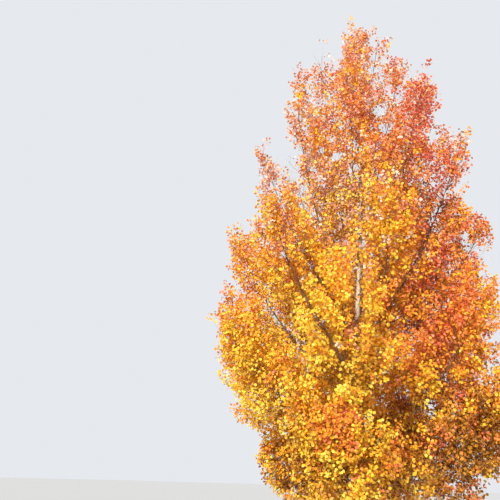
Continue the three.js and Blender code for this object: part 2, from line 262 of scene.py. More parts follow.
class ShaderGraph:
    """One material and the nodes that make its finish."""

    def __init__(self, name: str) -> None:
        """Makes an empty node material with a Principled surface.

        Args:
            name: The material's name.
        """
        self.material = bpy.data.materials.new(name)
        self.material.use_nodes = True
        self.tree = self.material.node_tree
        self.tree.nodes.clear()
        self.surface = self.node("ShaderNodeBsdfPrincipled")
        self.node("ShaderNodeOutputMaterial", sockets={"Surface": self.surface.outputs[0]})

    def node(
        self,
        kind: str,
        settings: Mapping[str, Any] | None = None,
        sockets: Mapping[str | int, Any] | None = None,
    ) -> bpy.types.ShaderNode:
        """Adds a node, with its settings made before its sockets are filled.

        Args:
            kind: The node's type.
            settings: Its own options by name.
            sockets: What each input gets, by name or number: a value, a Number or another node's output.

        Returns:
            The node.
        """
        node = self.tree.nodes.new(kind)
        for key, value in (settings or {}).items():
            setattr(node, key, value)
        for key, value in (sockets or {}).items():
            self._fill(node.inputs[key], value)
        return node

    def _fill(self, target: bpy.types.NodeSocket, value: Any) -> None:
        """Links or sets one input.

        Args:
            target: The input.
            value: A number, a colour of three or four parts, a vector, a Number or a socket.
        """
        source = value.socket if isinstance(value, Number) else value
        if isinstance(source, bpy.types.NodeSocket):
            self.tree.links.new(source, target)
        elif target.type == "RGBA":
            target.default_value = (*source[:3], 1.0)
        else:
            target.default_value = source

    def place(self) -> bpy.types.NodeSocket:
        """Gives the place on the object in metres."""
        return self.node("ShaderNodeTexCoord").outputs["Object"]

    def height(self) -> Number:
        """Gives the height on the object in metres."""
        return Number(self, self.node("ShaderNodeSeparateXYZ", None, {0: self.place()}).outputs["Z"])

    def attribute(self, name: str) -> Number:
        """Gives a number that each vertex carries under a name."""
        return Number(self, self.node("ShaderNodeAttribute", {"attribute_name": name}).outputs["Fac"])

    def noise(self, pattern: Pattern) -> Number:
        """Gives a pattern's noise, from 0 to 1.

        Args:
            pattern: Its scale, detail, stretch and edges.

        Returns:
            The noise, turned from 0 to 1 between its edges if it has any.
        """
        sockets = {0: self.place(), 1: pattern.stretch}
        where = self.node("ShaderNodeVectorMath", {"operation": "MULTIPLY"}, sockets).outputs[0]
        sockets = {"Vector": where, "Scale": pattern.scale, "Detail": pattern.detail}
        plain = Number(self, self.node("ShaderNodeTexNoise", None, sockets).outputs[0])
        return plain.step(*pattern.edges) if pattern.edges else plain

    def blend(self, base: Any, over: Any, share: Number | float) -> bpy.types.NodeSocket:
        """Lays one colour over another by a share.

        Args:
            base: The colour below, linear or from a socket.
            over: The colour above, linear or from a socket.
            share: How much of the one above shows.

        Returns:
            The mixed colour's socket.
        """
        sockets = {0: share, 6: base, 7: over}
        return self.node("ShaderNodeMix", {"data_type": "RGBA"}, sockets).outputs[2]

    def bump(self, relief: Number, strength: float, distance: float) -> bpy.types.NodeSocket:
        """Gives the normals of a surface with a fine relief of a distance in metres."""
        sockets = {"Strength": strength, "Distance": distance, "Height": relief}
        return self.node("ShaderNodeBump", None, sockets).outputs[0]

    def finish(self, **inputs: Any) -> bpy.types.Material:
        """Fills the Principled surface's sockets and gives the material.

        Args:
            **inputs: Values or links by socket name, with underscores for spaces.

        Returns:
            The material.
        """
        for key, value in inputs.items():
            name = key.replace("_", " ").title().replace("Ior", "IOR")
            self._fill(self.surface.inputs[name], value)
        return self.material


@dataclass(frozen=True)
class TrunkBark:
    """The trunk's bark: chalky cream with level dark dashes and black scars, furrowed and grey at the foot.

    The furrows of the foot fade in from the first of foot_fade's heights to the second. A share tells how
    much of a colour shows where its pattern is full, and a depth how far the pattern dents the surface.
    """

    cream: Colour = linear("e8e0c9")
    shade: Colour = linear("c2b897")
    moss: Colour = linear("8f8a63")
    scar: Colour = linear("2b2620")
    furrow: Colour = linear("55493b")
    clouds: Pattern = Pattern(3.2, 5.0)
    mosses: Pattern = Pattern(1.1, 4.0, edges=(0.52, 0.72))
    specks: Pattern = Pattern(90.0, 2.0)
    dashes: Pattern = Pattern(15.0, 2.0, (1.0, 1.0, 7.0), (0.66, 0.72))
    cracks: Pattern = Pattern(4.0, 6.0, (9.0, 9.0, 1.2), (0.38, 0.56))
    cloud_edges: Span = (0.42, 0.68)
    scar_edges: Span = (0.25, 0.7)
    foot_fade: Span = (1.9, 0.35)
    foot_waver: float = 0.5
    moss_share: float = 0.5
    dash_share: float = 0.8
    furrow_share: float = 0.85
    speck_height: float = 0.5
    dash_depth: float = 0.9
    furrow_depth: float = 1.6
    scar_depth: float = 0.8
    scar_fray: float = 0.3
    scar_cut: float = 0.15
    bump_strength: float = 0.6
    bump_distance: float = 0.004
    smoothest: float = 0.62
    furrow_roughness: float = 0.25
    speck_roughness: float = 0.1

    def build(self) -> bpy.types.Material:
        """Makes the material.

        Returns:
            The material, which reads the mesh's scar shares.
        """
        graph = ShaderGraph("trunk_bark")
        mark = graph.attribute("scar")
        clouds = graph.noise(self.clouds)
        dashes = graph.noise(self.dashes)
        specks = graph.noise(self.specks)
        rough = (graph.height() + self.foot_waver * clouds).step(*self.foot_fade) * graph.noise(self.cracks)
        colour = graph.blend(self.cream, self.shade, clouds.step(*self.cloud_edges))
        colour = graph.blend(colour, self.moss, self.moss_share * graph.noise(self.mosses))
        colour = graph.blend(colour, self.scar, self.dash_share * dashes)
        colour = graph.blend(colour, self.furrow, self.furrow_share * rough)
        frayed = mark + self.scar_fray * specks - self.scar_cut
        colour = graph.blend(colour, self.scar, frayed.step(*self.scar_edges))
        relief = self.speck_height * specks - self.dash_depth * dashes
        relief = relief - self.furrow_depth * rough - self.scar_depth * mark
        normal = graph.bump(relief, self.bump_strength, self.bump_distance)
        roughness = self.smoothest + self.furrow_roughness * rough + self.speck_roughness * specks
        return graph.finish(base_color=colour, roughness=roughness, normal=normal)


@dataclass(frozen=True)
class LimbBark:
    """The limbs' bark: tan to olive, browner towards the tips, with a level dark grain."""

    tan: Colour = linear("b5a685")
    olive: Colour = linear("7f7755")
    brown: Colour = linear("6a5138")
    dark: Colour = linear("332a22")
    clouds: Pattern = Pattern(5.0, 4.0)
    specks: Pattern = Pattern(150.0, 2.0)
    grain: Pattern = Pattern(22.0, 3.0, (3.0, 3.0, 14.0))
    cloud_edges: Span = (0.4, 0.66)
    tip_edges: Span = (0.15, 0.85)
    tip_waver: float = 0.4
    tip_delay: float = 0.2
    grain_edges: Span = (0.6, 0.7)
    grain_share: float = 0.75
    dent_edges: Span = (0.55, 0.7)
    speck_height: float = 0.6
    bump_strength: float = 0.5
    bump_distance: float = 0.002
    smoothest: float = 0.6
    grain_roughness: float = 0.25

    def build(self) -> bpy.types.Material:
        """Makes the material.

        Returns:
            The material, which reads how near its tip each vertex of a limb is.
        """
        graph = ShaderGraph("limb_bark")
        thin = graph.attribute("thin")
        clouds = graph.noise(self.clouds)
        grain = graph.noise(self.grain)
        colour = graph.blend(self.tan, self.olive, clouds.step(*self.cloud_edges))
        towards_tip = (thin + self.tip_waver * clouds - self.tip_delay).step(*self.tip_edges)
        colour = graph.blend(colour, self.brown, towards_tip)
        colour = graph.blend(colour, self.dark, self.grain_share * grain.step(*self.grain_edges))
        relief = self.speck_height * graph.noise(self.specks) - grain.step(*self.dent_edges)
        normal = graph.bump(relief, self.bump_strength, self.bump_distance)
        roughness = self.smoothest + self.grain_roughness * grain
        return graph.finish(base_color=colour, roughness=roughness, normal=normal)


class TwigTint(Enum):
    """The plain colours of the finer wood: TWIG of the branches, and SHOOT of the twigs and shoots."""

    TWIG = "6b5038"
    SHOOT = "7a5636"

    def material(self) -> bpy.types.Material:
        """Makes the plain, matt material of this tint."""
        graph = ShaderGraph("twig_" + self.name.lower())
        return graph.finish(base_color=linear(self.value), roughness=TWIG_ROUGHNESS)


class LeafTint(Enum):
    """The plain colours that are dealt out to the sprays, from the coolest to the warmest, then the odd ones.

    SALMON and the near-white tint after it are the pale ones, OCHRE and RUSSET the brown ones. The near-white
    tint is a painted highlight, SALMON partly a leaf tone and partly painted sky reflection, and the brown
    ones partly brown leaves and partly painted shade.
    """

    LEMON = "fad54c"
    YELLOW = "f9c735"
    GOLD = "f8b12e"
    AMBER = "f49c35"
    ORANGE = "ef8945"
    CORAL = "e8754c"
    SCARLET = "dc6046"
    # Partly a leaf tone, partly painted sky reflection on the leaves.
    SALMON = "e09373"
    # A near-white peach that is a painted highlight: the glints of light on glossy leaves.
    BLUSH = "f2d0b9"
    # Brown leaves, and painted shade where the colour zones deal many of them.
    OCHRE = "b27a25"
    RUSSET = "8a5522"

    def material(self) -> bpy.types.Material:
        """Makes the plain material of this tint, satin, and glossier on the palest leaves.

        Returns:
            The material.
        """
        pale = self in (LeafTint.SALMON, LeafTint.BLUSH)
        shine = PALE_LEAF_SHINE if pale else LEAF_SHINE
        graph = ShaderGraph("leaf_" + self.name.lower())
        return graph.finish(base_color=linear(self.value), roughness=LEAF_ROUGHNESS, specular_ior_level=shine)


TINTS = list(LeafTint)
WARM_STEPS = TINTS.index(LeafTint.SCARLET)


def make_piece(
    name: str,
    points: Array,
    triangles: Array,
    materials: Sequence[bpy.types.Material],
    slots: Array | None = None,
    smooth: bool = False,
) -> bpy.types.Object:
    """Makes one mesh object from arrays.

    Args:
        name: The piece's name.
        points: Its vertices, one row each.
        triangles: Its faces, three vertex numbers a row.
        materials: The finishes that it wears.
        slots: Each face's place in materials, or None for the first.
        smooth: Whether its faces are shaded as one smooth surface.

    Returns:
        The object, linked to the scene.
    """
    mesh = bpy.data.meshes.new(name)
    mesh.vertices.add(len(points))
    mesh.vertices.foreach_set("co", np.ascontiguousarray(points, dtype=np.float32).ravel())
    mesh.loops.add(3 * len(triangles))
    mesh.loops.foreach_set("vertex_index", np.ascontiguousarray(triangles, dtype=np.int32).ravel())
    mesh.polygons.add(len(triangles))
    mesh.polygons.foreach_set("loop_start", np.arange(0, 3 * len(triangles), 3, dtype=np.int32))
    for material in materials:
        mesh.materials.append(material)
    if slots is not None:
        mesh.polygons.foreach_set("material_index", np.ascontiguousarray(slots, dtype=np.int32))
    mesh.polygons.foreach_set("use_smooth", np.full(len(triangles), smooth))
    mesh.update(calc_edges=True)
    piece = bpy.data.objects.new(name, mesh)
    bpy.context.scene.collection.objects.link(piece)
    LOG.info("%s: %d triangles", name, len(triangles))
    return piece


def add_share(piece: bpy.types.Object, name: str, values: Array) -> None:
    """Gives each vertex of a piece a number that its material reads by name."""
    layer = piece.data.attributes.new(name, "FLOAT", "POINT")
    layer.data.foreach_set("value", np.ascontiguousarray(values, dtype=np.float32).ravel())


def ring_faces(rings: int, sides: int) -> Array:
    """Lists the faces between the rings of a tube.

    Args:
        rings: How many rings it has, each a run of vertices.
        sides: How many vertices a ring has.

    Returns:
        The triangles, facing out where the rings run anticlockwise seen from the tube's end.
    """
    ring = np.arange(rings - 1)[:, None] * sides
    side = np.arange(sides)[None, :]
    turn = (side + 1) % sides
    a, b, c, d = ring + side, ring + turn, ring + sides + turn, ring + sides + side
    return np.concatenate([np.stack([a, b, c], -1), np.stack([a, c, d], -1)]).reshape(-1, 3)


def pointed_tubes(centres: Array, radii: Array, across: Array, sides: int) -> tuple[Array, Array]:
    """Makes many thin tubes at once, each ending in a point.

    Args:
        centres: The points along each tube, with tubes first and points second.
        radii: The radius at each point but the last, where the tube ends.
        across: A direction for each tube that it doesn't run along.
        sides: How many sides each has.

    Returns:
        The vertices and the triangles of all of them.
    """
    count, steps = centres.shape[:2]
    along = unit(np.gradient(centres, axis=1))[:, :-1]
    first = square_to(np.broadcast_to(across[:, None], along.shape), along)
    second = np.cross(along, first)
    angle = 2 * math.pi * np.arange(sides) / sides
    spokes = first[:, :, None] * np.cos(angle)[:, None] + second[:, :, None] * np.sin(angle)[:, None]
    rings = centres[:, :-1, None] + spokes * radii[:, :, None, None]
    points = np.concatenate([rings.reshape(count, -1, 3), centres[:, -1:]], axis=1)
    walls = ring_faces(steps - 1, sides)
    last = (steps - 2) * sides
    side = np.arange(sides)
    tip = np.stack([last + side, last + (side + 1) % sides, np.full(sides, last + sides)], -1)
    faces = np.concatenate([walls, tip])
    each = points.shape[1]
    triangles = faces[None] + each * np.arange(count)[:, None, None]
    return points.reshape(-1, 3), triangles.reshape(-1, 3)


@dataclass(frozen=True)
class TrunkForm:
    """The trunk's line and thickness, the same as in the part's source."""

    height: float = 10.6
    radius: float = 0.105
    taper: float = 1.3
    tip_radius: float = 0.014
    lean: float = 0.27
    sway: float = 0.07
    bow: float = 0.06
    flare: float = 0.075
    flare_height: float = 0.19
    flare_lobes: int = 5
    flare_lobe_share: float = 0.28

    def axis(self, heights: Array) -> Array:
        """Gives the middle of the trunk.

        Args:
            heights: The heights at which it is wanted.

        Returns:
            A point for each height.
        """
        share = heights / self.height
        x = self.lean * share - self.sway * np.sin(2 * math.pi * share)
        return np.stack([x, self.bow * np.sin(math.pi * share), heights], -1)

    def radius_at(self, heights: Array) -> Array:
        """Gives the trunk's radius at heights, without its root flare."""
        share = np.minimum(1.0, heights / self.height)
        return np.maximum(self.tip_radius, self.radius * (1 - share) ** self.taper)

    def flare_at(self, heights: Array, angles: Array) -> Array:
        """Gives how far the root flare stands out at heights and angles."""
        lobes = 1 + self.flare_lobe_share * np.cos(self.flare_lobes * angles)
        return self.flare * lobes * np.exp(-heights / self.flare_height)


@dataclass(frozen=True)
class Tier:
    """One tier of limbs.

    root gives the heights at which its limbs leave the trunk. reach, top and spread give how far and how
    high they go and half the width of their spaces, on the left and on the right. turn is the first
    limb's angle in degrees. bare is the share of a limb's line that is bough, or 0 where its mass starts
    at the trunk, and leafy the share at which its branches start. slot names a material slot for its
    leaves, and is not used.
    """

    name: str
    count: int
    turn: float
    root: Span
    reach: Span
    top: Span
    bare: float
    leafy: float
    spread: Span
    slot: str


TIERS = (
    Tier("skirt", 5, 270, (0.9, 1.35), (1.58, 2.55), (1.8, 2.35), 0.26, 0.26, (0.88, 1.05), "leaf_yellow"),
    Tier("low", 6, 330, (1.75, 2.35), (2.7, 2.6), (3.8, 4.4), 0.3, 0.3, (0.98, 1.02), "leaf_gold"),
    Tier("middle", 6, 172, (2.85, 3.45), (2.48, 2.5), (6.15, 6.05), 0.34, 0.34, (0.92, 0.96), "leaf_amber"),
    Tier("high", 6, 7, (3.85, 4.35), (2.0, 2.5), (8.3, 8.65), 0.38, 0.38, (0.52, 0.82), "leaf_orange"),
    Tier("upper", 5, 346, (5.3, 6.4), (1.3, 1.65), (9.75, 9.35), 0.0, 0.24, (0.6, 0.76), "leaf_coral"),
    Tier("top", 4, 18, (7.0, 8.6), (0.9, 1.0), (10.5, 10.55), 0.0, 0.2, (0.56, 0.6), "leaf_salmon"),
)
LEADER = Tier("leader", 1, 0, (10.6, 10.6), (0.0, 0.0), (11.42, 11.42), 0.0, 0.0, (0.42, 0.42), "leaf_salmon")


@dataclass
class Limb:
    """One limb: its line from the trunk to its tip, and the flame-shaped space that its leaves keep to.

    Its line leaves the trunk outwards by bend_out and upwards by bend_up, and waves to the side. outer
    narrows its space on the side away from the trunk.
    """

    tier: Tier
    name: str
    root: Array
    azimuth: float
    reach: float
    top: float
    wave: float
    radius: float
    spread: float
    outer: float
    bend_out: float = 0.62
    bend_up: float = 0.38
    tip_radius: float = 0.005
    collar: float = 0.45
    collar_length: float = 0.09
    small_step: float = 0.001
    out: Array = field(init=False)
    side: Array = field(init=False)

    def __post_init__(self) -> None:
        """Works out the limb's own directions."""
        turn = math.radians(self.azimuth)
        self.out = np.array([math.cos(turn), math.sin(turn), 0.0])
        self.side = np.array([-math.sin(turn), math.cos(turn), 0.0])

    @property
    def rise(self) -> float:
        """How far the tip lies above the root."""
        return self.top - self.root[2]

    def points(self, shares: Array) -> Array:
        """Gives points of the limb's line.

        Args:
            shares: How far along the line each lies, from 0 to 1.

        Returns:
            A point for each share.
        """
        t = np.asarray(shares, dtype=float)[..., None]
        outward = 2 * t * (1 - t) * self.bend_out + t * t
        upward = 2 * t * (1 - t) * self.bend_up + t * t
        aside = self.wave * np.sin(2 * math.pi * t)
        return self.root + outward * self.reach * self.out + aside * self.side + upward * self.rise * UP

    def tangents(self, shares: Array) -> Array:
        """Gives directions of the limb's line.

        Args:
            shares: How far along the line each is wanted, from 0 to 1.

        Returns:
            A direction for each share.
        """
        t = np.asarray(shares, dtype=float)
        before, after = np.maximum(0, t - self.small_step), np.minimum(1, t + self.small_step)
        return unit(self.points(after) - self.points(before))

    def radius_at(self, shares: Array) -> Array:
        """Gives the limb's radius, with the collar at the trunk.

        Args:
            shares: How far along the line it is wanted, from 0 to 1.

        Returns:
            A radius for each share.
        """
        t = np.asarray(shares, dtype=float)
        length = self.reach + self.rise
        swelling = 1 + self.collar * np.exp(-t * length / self.collar_length)
        return mix(self.radius, self.tip_radius, t) * swelling


@dataclass
class Skeleton:
    """All the limbs of the tree, placed by the seeded rule of the part's source.

    A scatter is the whole range of a chance, and is least where a limb points to the left or the right.
    The check looks at one share of each limb.
    """

    trunk: TrunkForm = TrunkForm()
    azimuth_scatter: float = 22.0
    reach_scatter: float = 0.16
    top_scatter: float = 0.42
    root_stagger: float = 0.55
    radius_share: float = 0.4
    wave_share: float = 0.025
    outer_share: float = 0.42
    checked_share: float = 0.25
    box_slack: float = 0.05
    limbs: list[Limb] = field(default_factory=list)

    def grow(self) -> None:
        """Places every limb, tier by tier, and the leader last."""
        run = NumberRun(SEED)
        for tier in TIERS:
            for k in range(tier.count):
                self.limbs.append(self._limb(tier, k, run))
        root, radius = self.trunk.axis(np.array(self.trunk.height)), self.trunk.tip_radius
        straight = {"azimuth": 0.0, "reach": 0.0, "wave": 0.0, "outer": 1.0}
        spread, top = LEADER.spread[0], LEADER.top[0]
        self.limbs.append(Limb(LEADER, "leader", root, top=top, radius=radius, spread=spread, **straight))

    def _limb(self, tier: Tier, k: int, run: NumberRun) -> Limb:
        """Places one limb by the next four numbers of the run.

        Args:
            tier: Its tier.
            k: Its number in the tier, from 0.
            run: The run of numbers.

        Returns:
            The limb.
        """
        even = tier.turn + 360 * k / tier.count
        freedom = abs(math.sin(math.radians(even)))
        azimuth = even + self.azimuth_scatter * freedom * (run.next() - 0.5)
        right = (1 + math.cos(math.radians(azimuth))) / 2
        staggered = self.root_stagger * (k % 2) + (1 - self.root_stagger) * k / tier.count
        root = self.trunk.axis(np.array(mix(*tier.root, staggered)))
        reach = mix(*tier.reach, right) * (1 + self.reach_scatter * freedom * (run.next() - 0.5))
        top = mix(*tier.top, right) + self.top_scatter * freedom * (run.next() - 0.5)
        wave = self.wave_share * reach * (-1 if run.next() < 0.5 else 1)
        radius = self.radius_share * float(self.trunk.radius_at(root[2]))
        name = f"{tier.name}_{k + 1}"
        spread = mix(*tier.spread, right)
        return Limb(tier, name, root, azimuth, reach, top, wave, radius, spread, self.outer_share)

    def check(self) -> None:
        """Warns where a point on a limb doesn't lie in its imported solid's box."""
        for limb in self.limbs:
            kind = "bough_" if limb.tier.bare > 0 else "leaves_"
            low, high = (np.array(corner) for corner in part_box(kind + limb.name))
            point = limb.points(np.array([self.checked_share]))[0]
            if np.any(point < low - self.box_slack) or np.any(point > high + self.box_slack):
                LOG.warning("limb %s leaves its solid's box", limb.name)


@dataclass
class CrownSpaces:
    """The spaces of all masses together: which points a mass may fill.

    A space is a flame round its stem, whose half-width is greatest at the share widest and never less
    than the share least of that. It reaches further down and up than out, by upright, or by skirt_hang
    and skirt_stand. A point may lie deeper in another space than in its own by the depth mingling.
    """

    limbs: Sequence[Limb]
    samples: int = 9
    widest: float = 0.3
    span: float = 0.85
    least: float = 0.2
    upright: float = 1.25
    skirt_hang: float = 1.5
    skirt_stand: float = 1.75
    mingling: float = 0.16
    softness: float = 4.0
    pace: float = 0.05
    batch: int = 6000

    def __post_init__(self) -> None:
        """Sets the points along every stem, with the half-width of the flame at each."""
        share = np.linspace(0, 1, self.samples)
        flame = np.sqrt(np.maximum(self.least**2, 1 - ((share - self.widest) / self.span) ** 2))
        self.centres = np.stack([limb.points(mix(limb.tier.leafy, 1.0, share)) for limb in self.limbs])
        self.widths = np.stack([limb.spread * flame for limb in self.limbs])
        self.outs = np.stack([limb.out for limb in self.limbs])
        self.sides = np.stack([limb.side for limb in self.limbs])
        self.outers = np.array([limb.outer for limb in self.limbs])
        skirt = np.array([limb.tier is TIERS[0] for limb in self.limbs])
        self.below = np.where(skirt, self.skirt_hang, self.upright)
        self.above = np.where(skirt, self.skirt_stand, self.upright)

    def depths(self, points: Array) -> Array:
        """Measures how deep points lie in every space.

        Args:
            points: The points.

        Returns:
            A row for each point and a column for each space: 0 on the stem, 1 on the skin.
        """
        offset = points[:, None, None, :] - self.centres[None]
        outward = np.einsum("nlsk,lk->nls", offset, self.outs)
        sideways = np.einsum("nlsk,lk->nls", offset, self.sides)
        shallow = np.where(outward < 0, 1.0, self.outers[None, :, None])
        tall = np.where(offset[..., 2] < 0, self.below[None, :, None], self.above[None, :, None])
        size = (outward / shallow) ** 2 + sideways**2 + (offset[..., 2] / tall) ** 2
        return np.sqrt(size / self.widths[None] ** 2).min(axis=2)

    def joined(self, depths: Array) -> Array:
        """Joins the depths in all spaces into one, so that the valleys between neighbours fill."""
        return -np.log(np.exp(-self.softness * depths).sum(axis=1)) / self.softness

    def core(self, points: Array) -> Array:
        """Measures how deep points lie in the crown as a whole."""
        starts = range(0, len(points), self.batch)
        return np.concatenate([self.joined(self.depths(points[i : i + self.batch])) for i in starts])

    def kept(self, owners: Array, points: Array, skin: Array) -> Array:
        """Tells which points lie in their own mass's space and not much deeper in any other.

        Args:
            owners: Each point's mass.
            points: The points.
            skin: The depth at which the space ends for each point, or infinity where it is free.

        Returns:
            True for each point that its mass may fill.
        """
        answers = []
        for start in range(0, len(points), self.batch):
            part = slice(start, start + self.batch)
            depth = self.depths(points[part])
            own = depth[np.arange(len(depth)), owners[part]]
            free = np.isinf(skin[part])
            mingled = own <= depth.min(axis=1) + self.mingling
            answers.append(free | (self.joined(depth) < skin[part]) & mingled)
        return np.concatenate(answers) if answers else np.zeros(0, dtype=bool)

    def room(self, owners: Array, starts: Array, directions: Array, longest: float, skin: Array) -> Array:
        """Measures how far straight shoots can grow before they leave their spaces.

        Args:
            owners: Each shoot's mass.
            starts: Where they start.
            directions: Where they point.
            longest: The greatest length that is tried.
            skin: The depth at which the space ends for each.

        Returns:
            The length that each has room for, in steps of the pace.
        """
        steps = np.arange(1, int(longest / self.pace) + 1) * self.pace
        places = starts[:, None] + directions[:, None] * steps[None, :, None]
        rows = np.repeat(np.arange(len(owners)), len(steps))
        inside = self.kept(owners[rows], places.reshape(-1, 3), skin[rows])
        inside = inside.reshape(len(starts), len(steps))
        return np.cumprod(inside, axis=1).sum(axis=1) * self.pace


@dataclass(frozen=True)
class Wood:
    """How a generation's wood is made: its stretches and sides, the radius left at its tip, and its tint."""

    steps: int
    sides: int
    tip: float
    tint: TwigTint


# The wood of the branches, the twigs and the shoots.
WOODS = (
    Wood(5, 5, 0.3, TwigTint.TWIG),
    Wood(2, 3, 0.5, TwigTint.SHOOT),
    Wood(1, 3, 1.0, TwigTint.SHOOT),
)


@dataclass
class Shoots:
    """One generation of growth: curves that start on the generation before and rise towards their tips.

    owner is each one's mass, parent its row in the generation before, and skin the depth at which its space
    ends. lift is how much all of them rise.
    """

    COLUMNS: ClassVar[tuple[str, ...]] = ("start", "direction", "length", "radius", "owner", "parent", "skin")

    start: Array
    direction: Array
    length: Array
    radius: Array
    owner: Array
    parent: Array
    skin: Array
    lift: float

    @property
    def tips(self) -> Array:
        """The points where the shoots end."""
        rows = np.arange(len(self.length))
        return self.points(rows, np.ones(len(rows)))

    def points(self, rows: Array, shares: Array) -> Array:
        """Gives points of some shoots.

        Args:
            rows: The shoots.
            shares: How far along each its point lies, from 0 to 1.

        Returns:
            The points.
        """
        along = (self.length[rows] * shares)[:, None]
        rise = (self.lift * self.length[rows] * shares**2)[:, None]
        return self.start[rows] + along * self.direction[rows] + rise * UP

    def tangents(self, rows: Array, shares: Array) -> Array:
        """Gives the directions of some shoots at shares of their length."""
        return unit(self.direction[rows] + (2 * self.lift * shares)[:, None] * UP)

    def select(self, chosen: Array) -> Shoots:
        """Gives the shoots that a mask or a list of rows names."""
        return Shoots(*(getattr(self, name)[chosen] for name in self.COLUMNS), self.lift)

    def joined(self, others: Shoots) -> Shoots:
        """Gives these shoots and others as one generation."""
        both = (np.concatenate([getattr(self, name), getattr(others, name)]) for name in self.COLUMNS)
        return Shoots(*both, self.lift)

    def tubes(self, wood: Wood) -> tuple[Array, Array]:
        """Makes the wood of all the shoots.

        Args:
            wood: How many stretches and sides each has, and how it thins.

        Returns:
            The vertices and the triangles.
        """
        rows = np.arange(len(self.length))
        shares = np.linspace(0, 1, wood.steps + 1)
        centres = np.stack([self.points(rows, np.full(len(rows), share)) for share in shares], axis=1)
        radii = self.radius[:, None] * mix(1.0, wood.tip, shares[:-1])[None]
        return pointed_tubes(centres, radii, aside_of(self.direction, STEEP_SHOOT), wood.sides)


@dataclass(frozen=True)
class BranchHabit:
    """How the branches grow along a stem, up to the share last of it, and fill their mass's space.

    lean is their angle away from the stem in degrees, at its start and at its end. Each fills a share of
    the room that it has, less towards the stem's tip by shortening, and is left out where it is shorter
    than least. thick is the radius of a branch with no length and what each metre adds, up to a share of
    the stem's radius.
    """

    spacing: float = 0.105
    last: float = 0.99
    lean: Span = (64.0, 30.0)
    lean_scatter: float = 8.0
    rise: float = 0.2
    lift: float = 0.16
    longest: float = 1.6
    least: float = 0.1
    fill: Span = (0.78, 1.0)
    shortening: float = 0.3
    thick: Span = (0.003, 0.009)
    stem_share: float = 0.45


@dataclass(frozen=True)
class InnerHabit:
    """How the short leafy branches grow on the boughs, and on the top of the trunk."""

    spacing: float = 0.13
    first: float = 0.07
    lean: Span = (45.0, 75.0)
    length: Span = (0.3, 0.75)
    trunk_from: float = 8.7
    trunk_spacing: float = 0.08
    trunk_lean: Span = (35.0, 60.0)
    trunk_length: Span = (0.34, 0.52)
    thick: Span = (0.0025, 0.006)


@dataclass(frozen=True)
class WandHabit:
    """How the upright wands stand out of the crown's skin, on the outer parts of the branches.

    Each starts at a share of its branch, in the range of seat, and goes partly along it, partly up and
    partly its own way, as far as the depth skin. thin is its share of the branch's radius.
    """

    chance: float = 0.8
    seat: Span = (0.75, 1.0)
    length: Span = (0.22, 0.5)
    skin: float = 1.6
    along: float = 0.55
    up: float = 0.85
    wild: float = 0.3
    thin: float = 0.55
    thinnest: float = 0.0014


@dataclass(frozen=True)
class Habit:
    """How a generation grows along the one before.

    spacing is the distance between two, first the share of a parent below which there is none, and lean
    their angle away from it in degrees. A length is least plus a share, in the range of ratio, of what is
    left of the parent. thin is their share of its radius. rise draws them upwards where they start, and
    lift along their length. The last one goes on from the parent's end, at the share tip_seat of it.
    """

    spacing: float
    first: float
    lean: float
    ratio: Span
    least: float
    thin: float
    rise: float
    lift: float
    seat_scatter: float = 0.3
    tip_seat: float = 0.985
    tip_lean: float = 8.0
    lean_scatter: float = 10.0
    least_scatter: Span = (0.7, 1.3)
    thinnest: float = 0.0011


def lean_out(along: Array, turn: Array, lean: Array, lift: float) -> Array:
    """Turns directions out of the growth that they start on.

    Args:
        along: The directions of that growth.
        turn: The angle of each round it.
        lean: The angle of each away from it.
        lift: How much each is drawn upwards.

    Returns:
        The new directions.
    """
    first = square_to(aside_of(along, STEEP_GROWTH), along)
    second = np.cross(along, first)
    round_ = first * np.cos(turn)[:, None] + second * np.sin(turn)[:, None]
    return unit(along * np.cos(lean)[:, None] + round_ * np.sin(lean)[:, None] + lift * UP)


@dataclass(frozen=True)
class Opening:
    """A place where the crown is open, seen from one side: round a line of points, to its radius there.

    A through opening goes right through the crown, and another only as deep as its points. eye is where
    it is seen from. Its edge is ragged: each place is tested at its own factor of the radius.
    """

    points: Array
    radius: float
    through: bool = True
    cleared: float = 0.92
    ragged: Span = (0.5, 1.4)
    eye: Triple = VIEWPOINT

    def clears(self, places: Array, rng: np.random.Generator) -> Array:
        """Tells which places stand in the way of the opening.

        Args:
            places: Points in the crown.
            rng: The chances, as a few leaves stay.

        Returns:
            True for each place to be cleared.
        """
        eye = np.array(self.eye)
        sights, targets = ((p[:, (0, 2)] - eye[[0, 2]]) / (p[:, 1:2] - eye[1]) for p in (places, self.points))
        far = np.linalg.norm(sights[:, None] - targets[None], axis=2)
        nearest = far.argmin(axis=1)
        reach = self.radius / (self.points[nearest, 1] - eye[1])
        edge = reach * rng.uniform(*self.ragged, len(places))
        before = self.through | (places[:, 1] < self.points[nearest, 1])
        return (far.min(axis=1) < edge) & before & (rng.random(len(places)) < self.cleared)


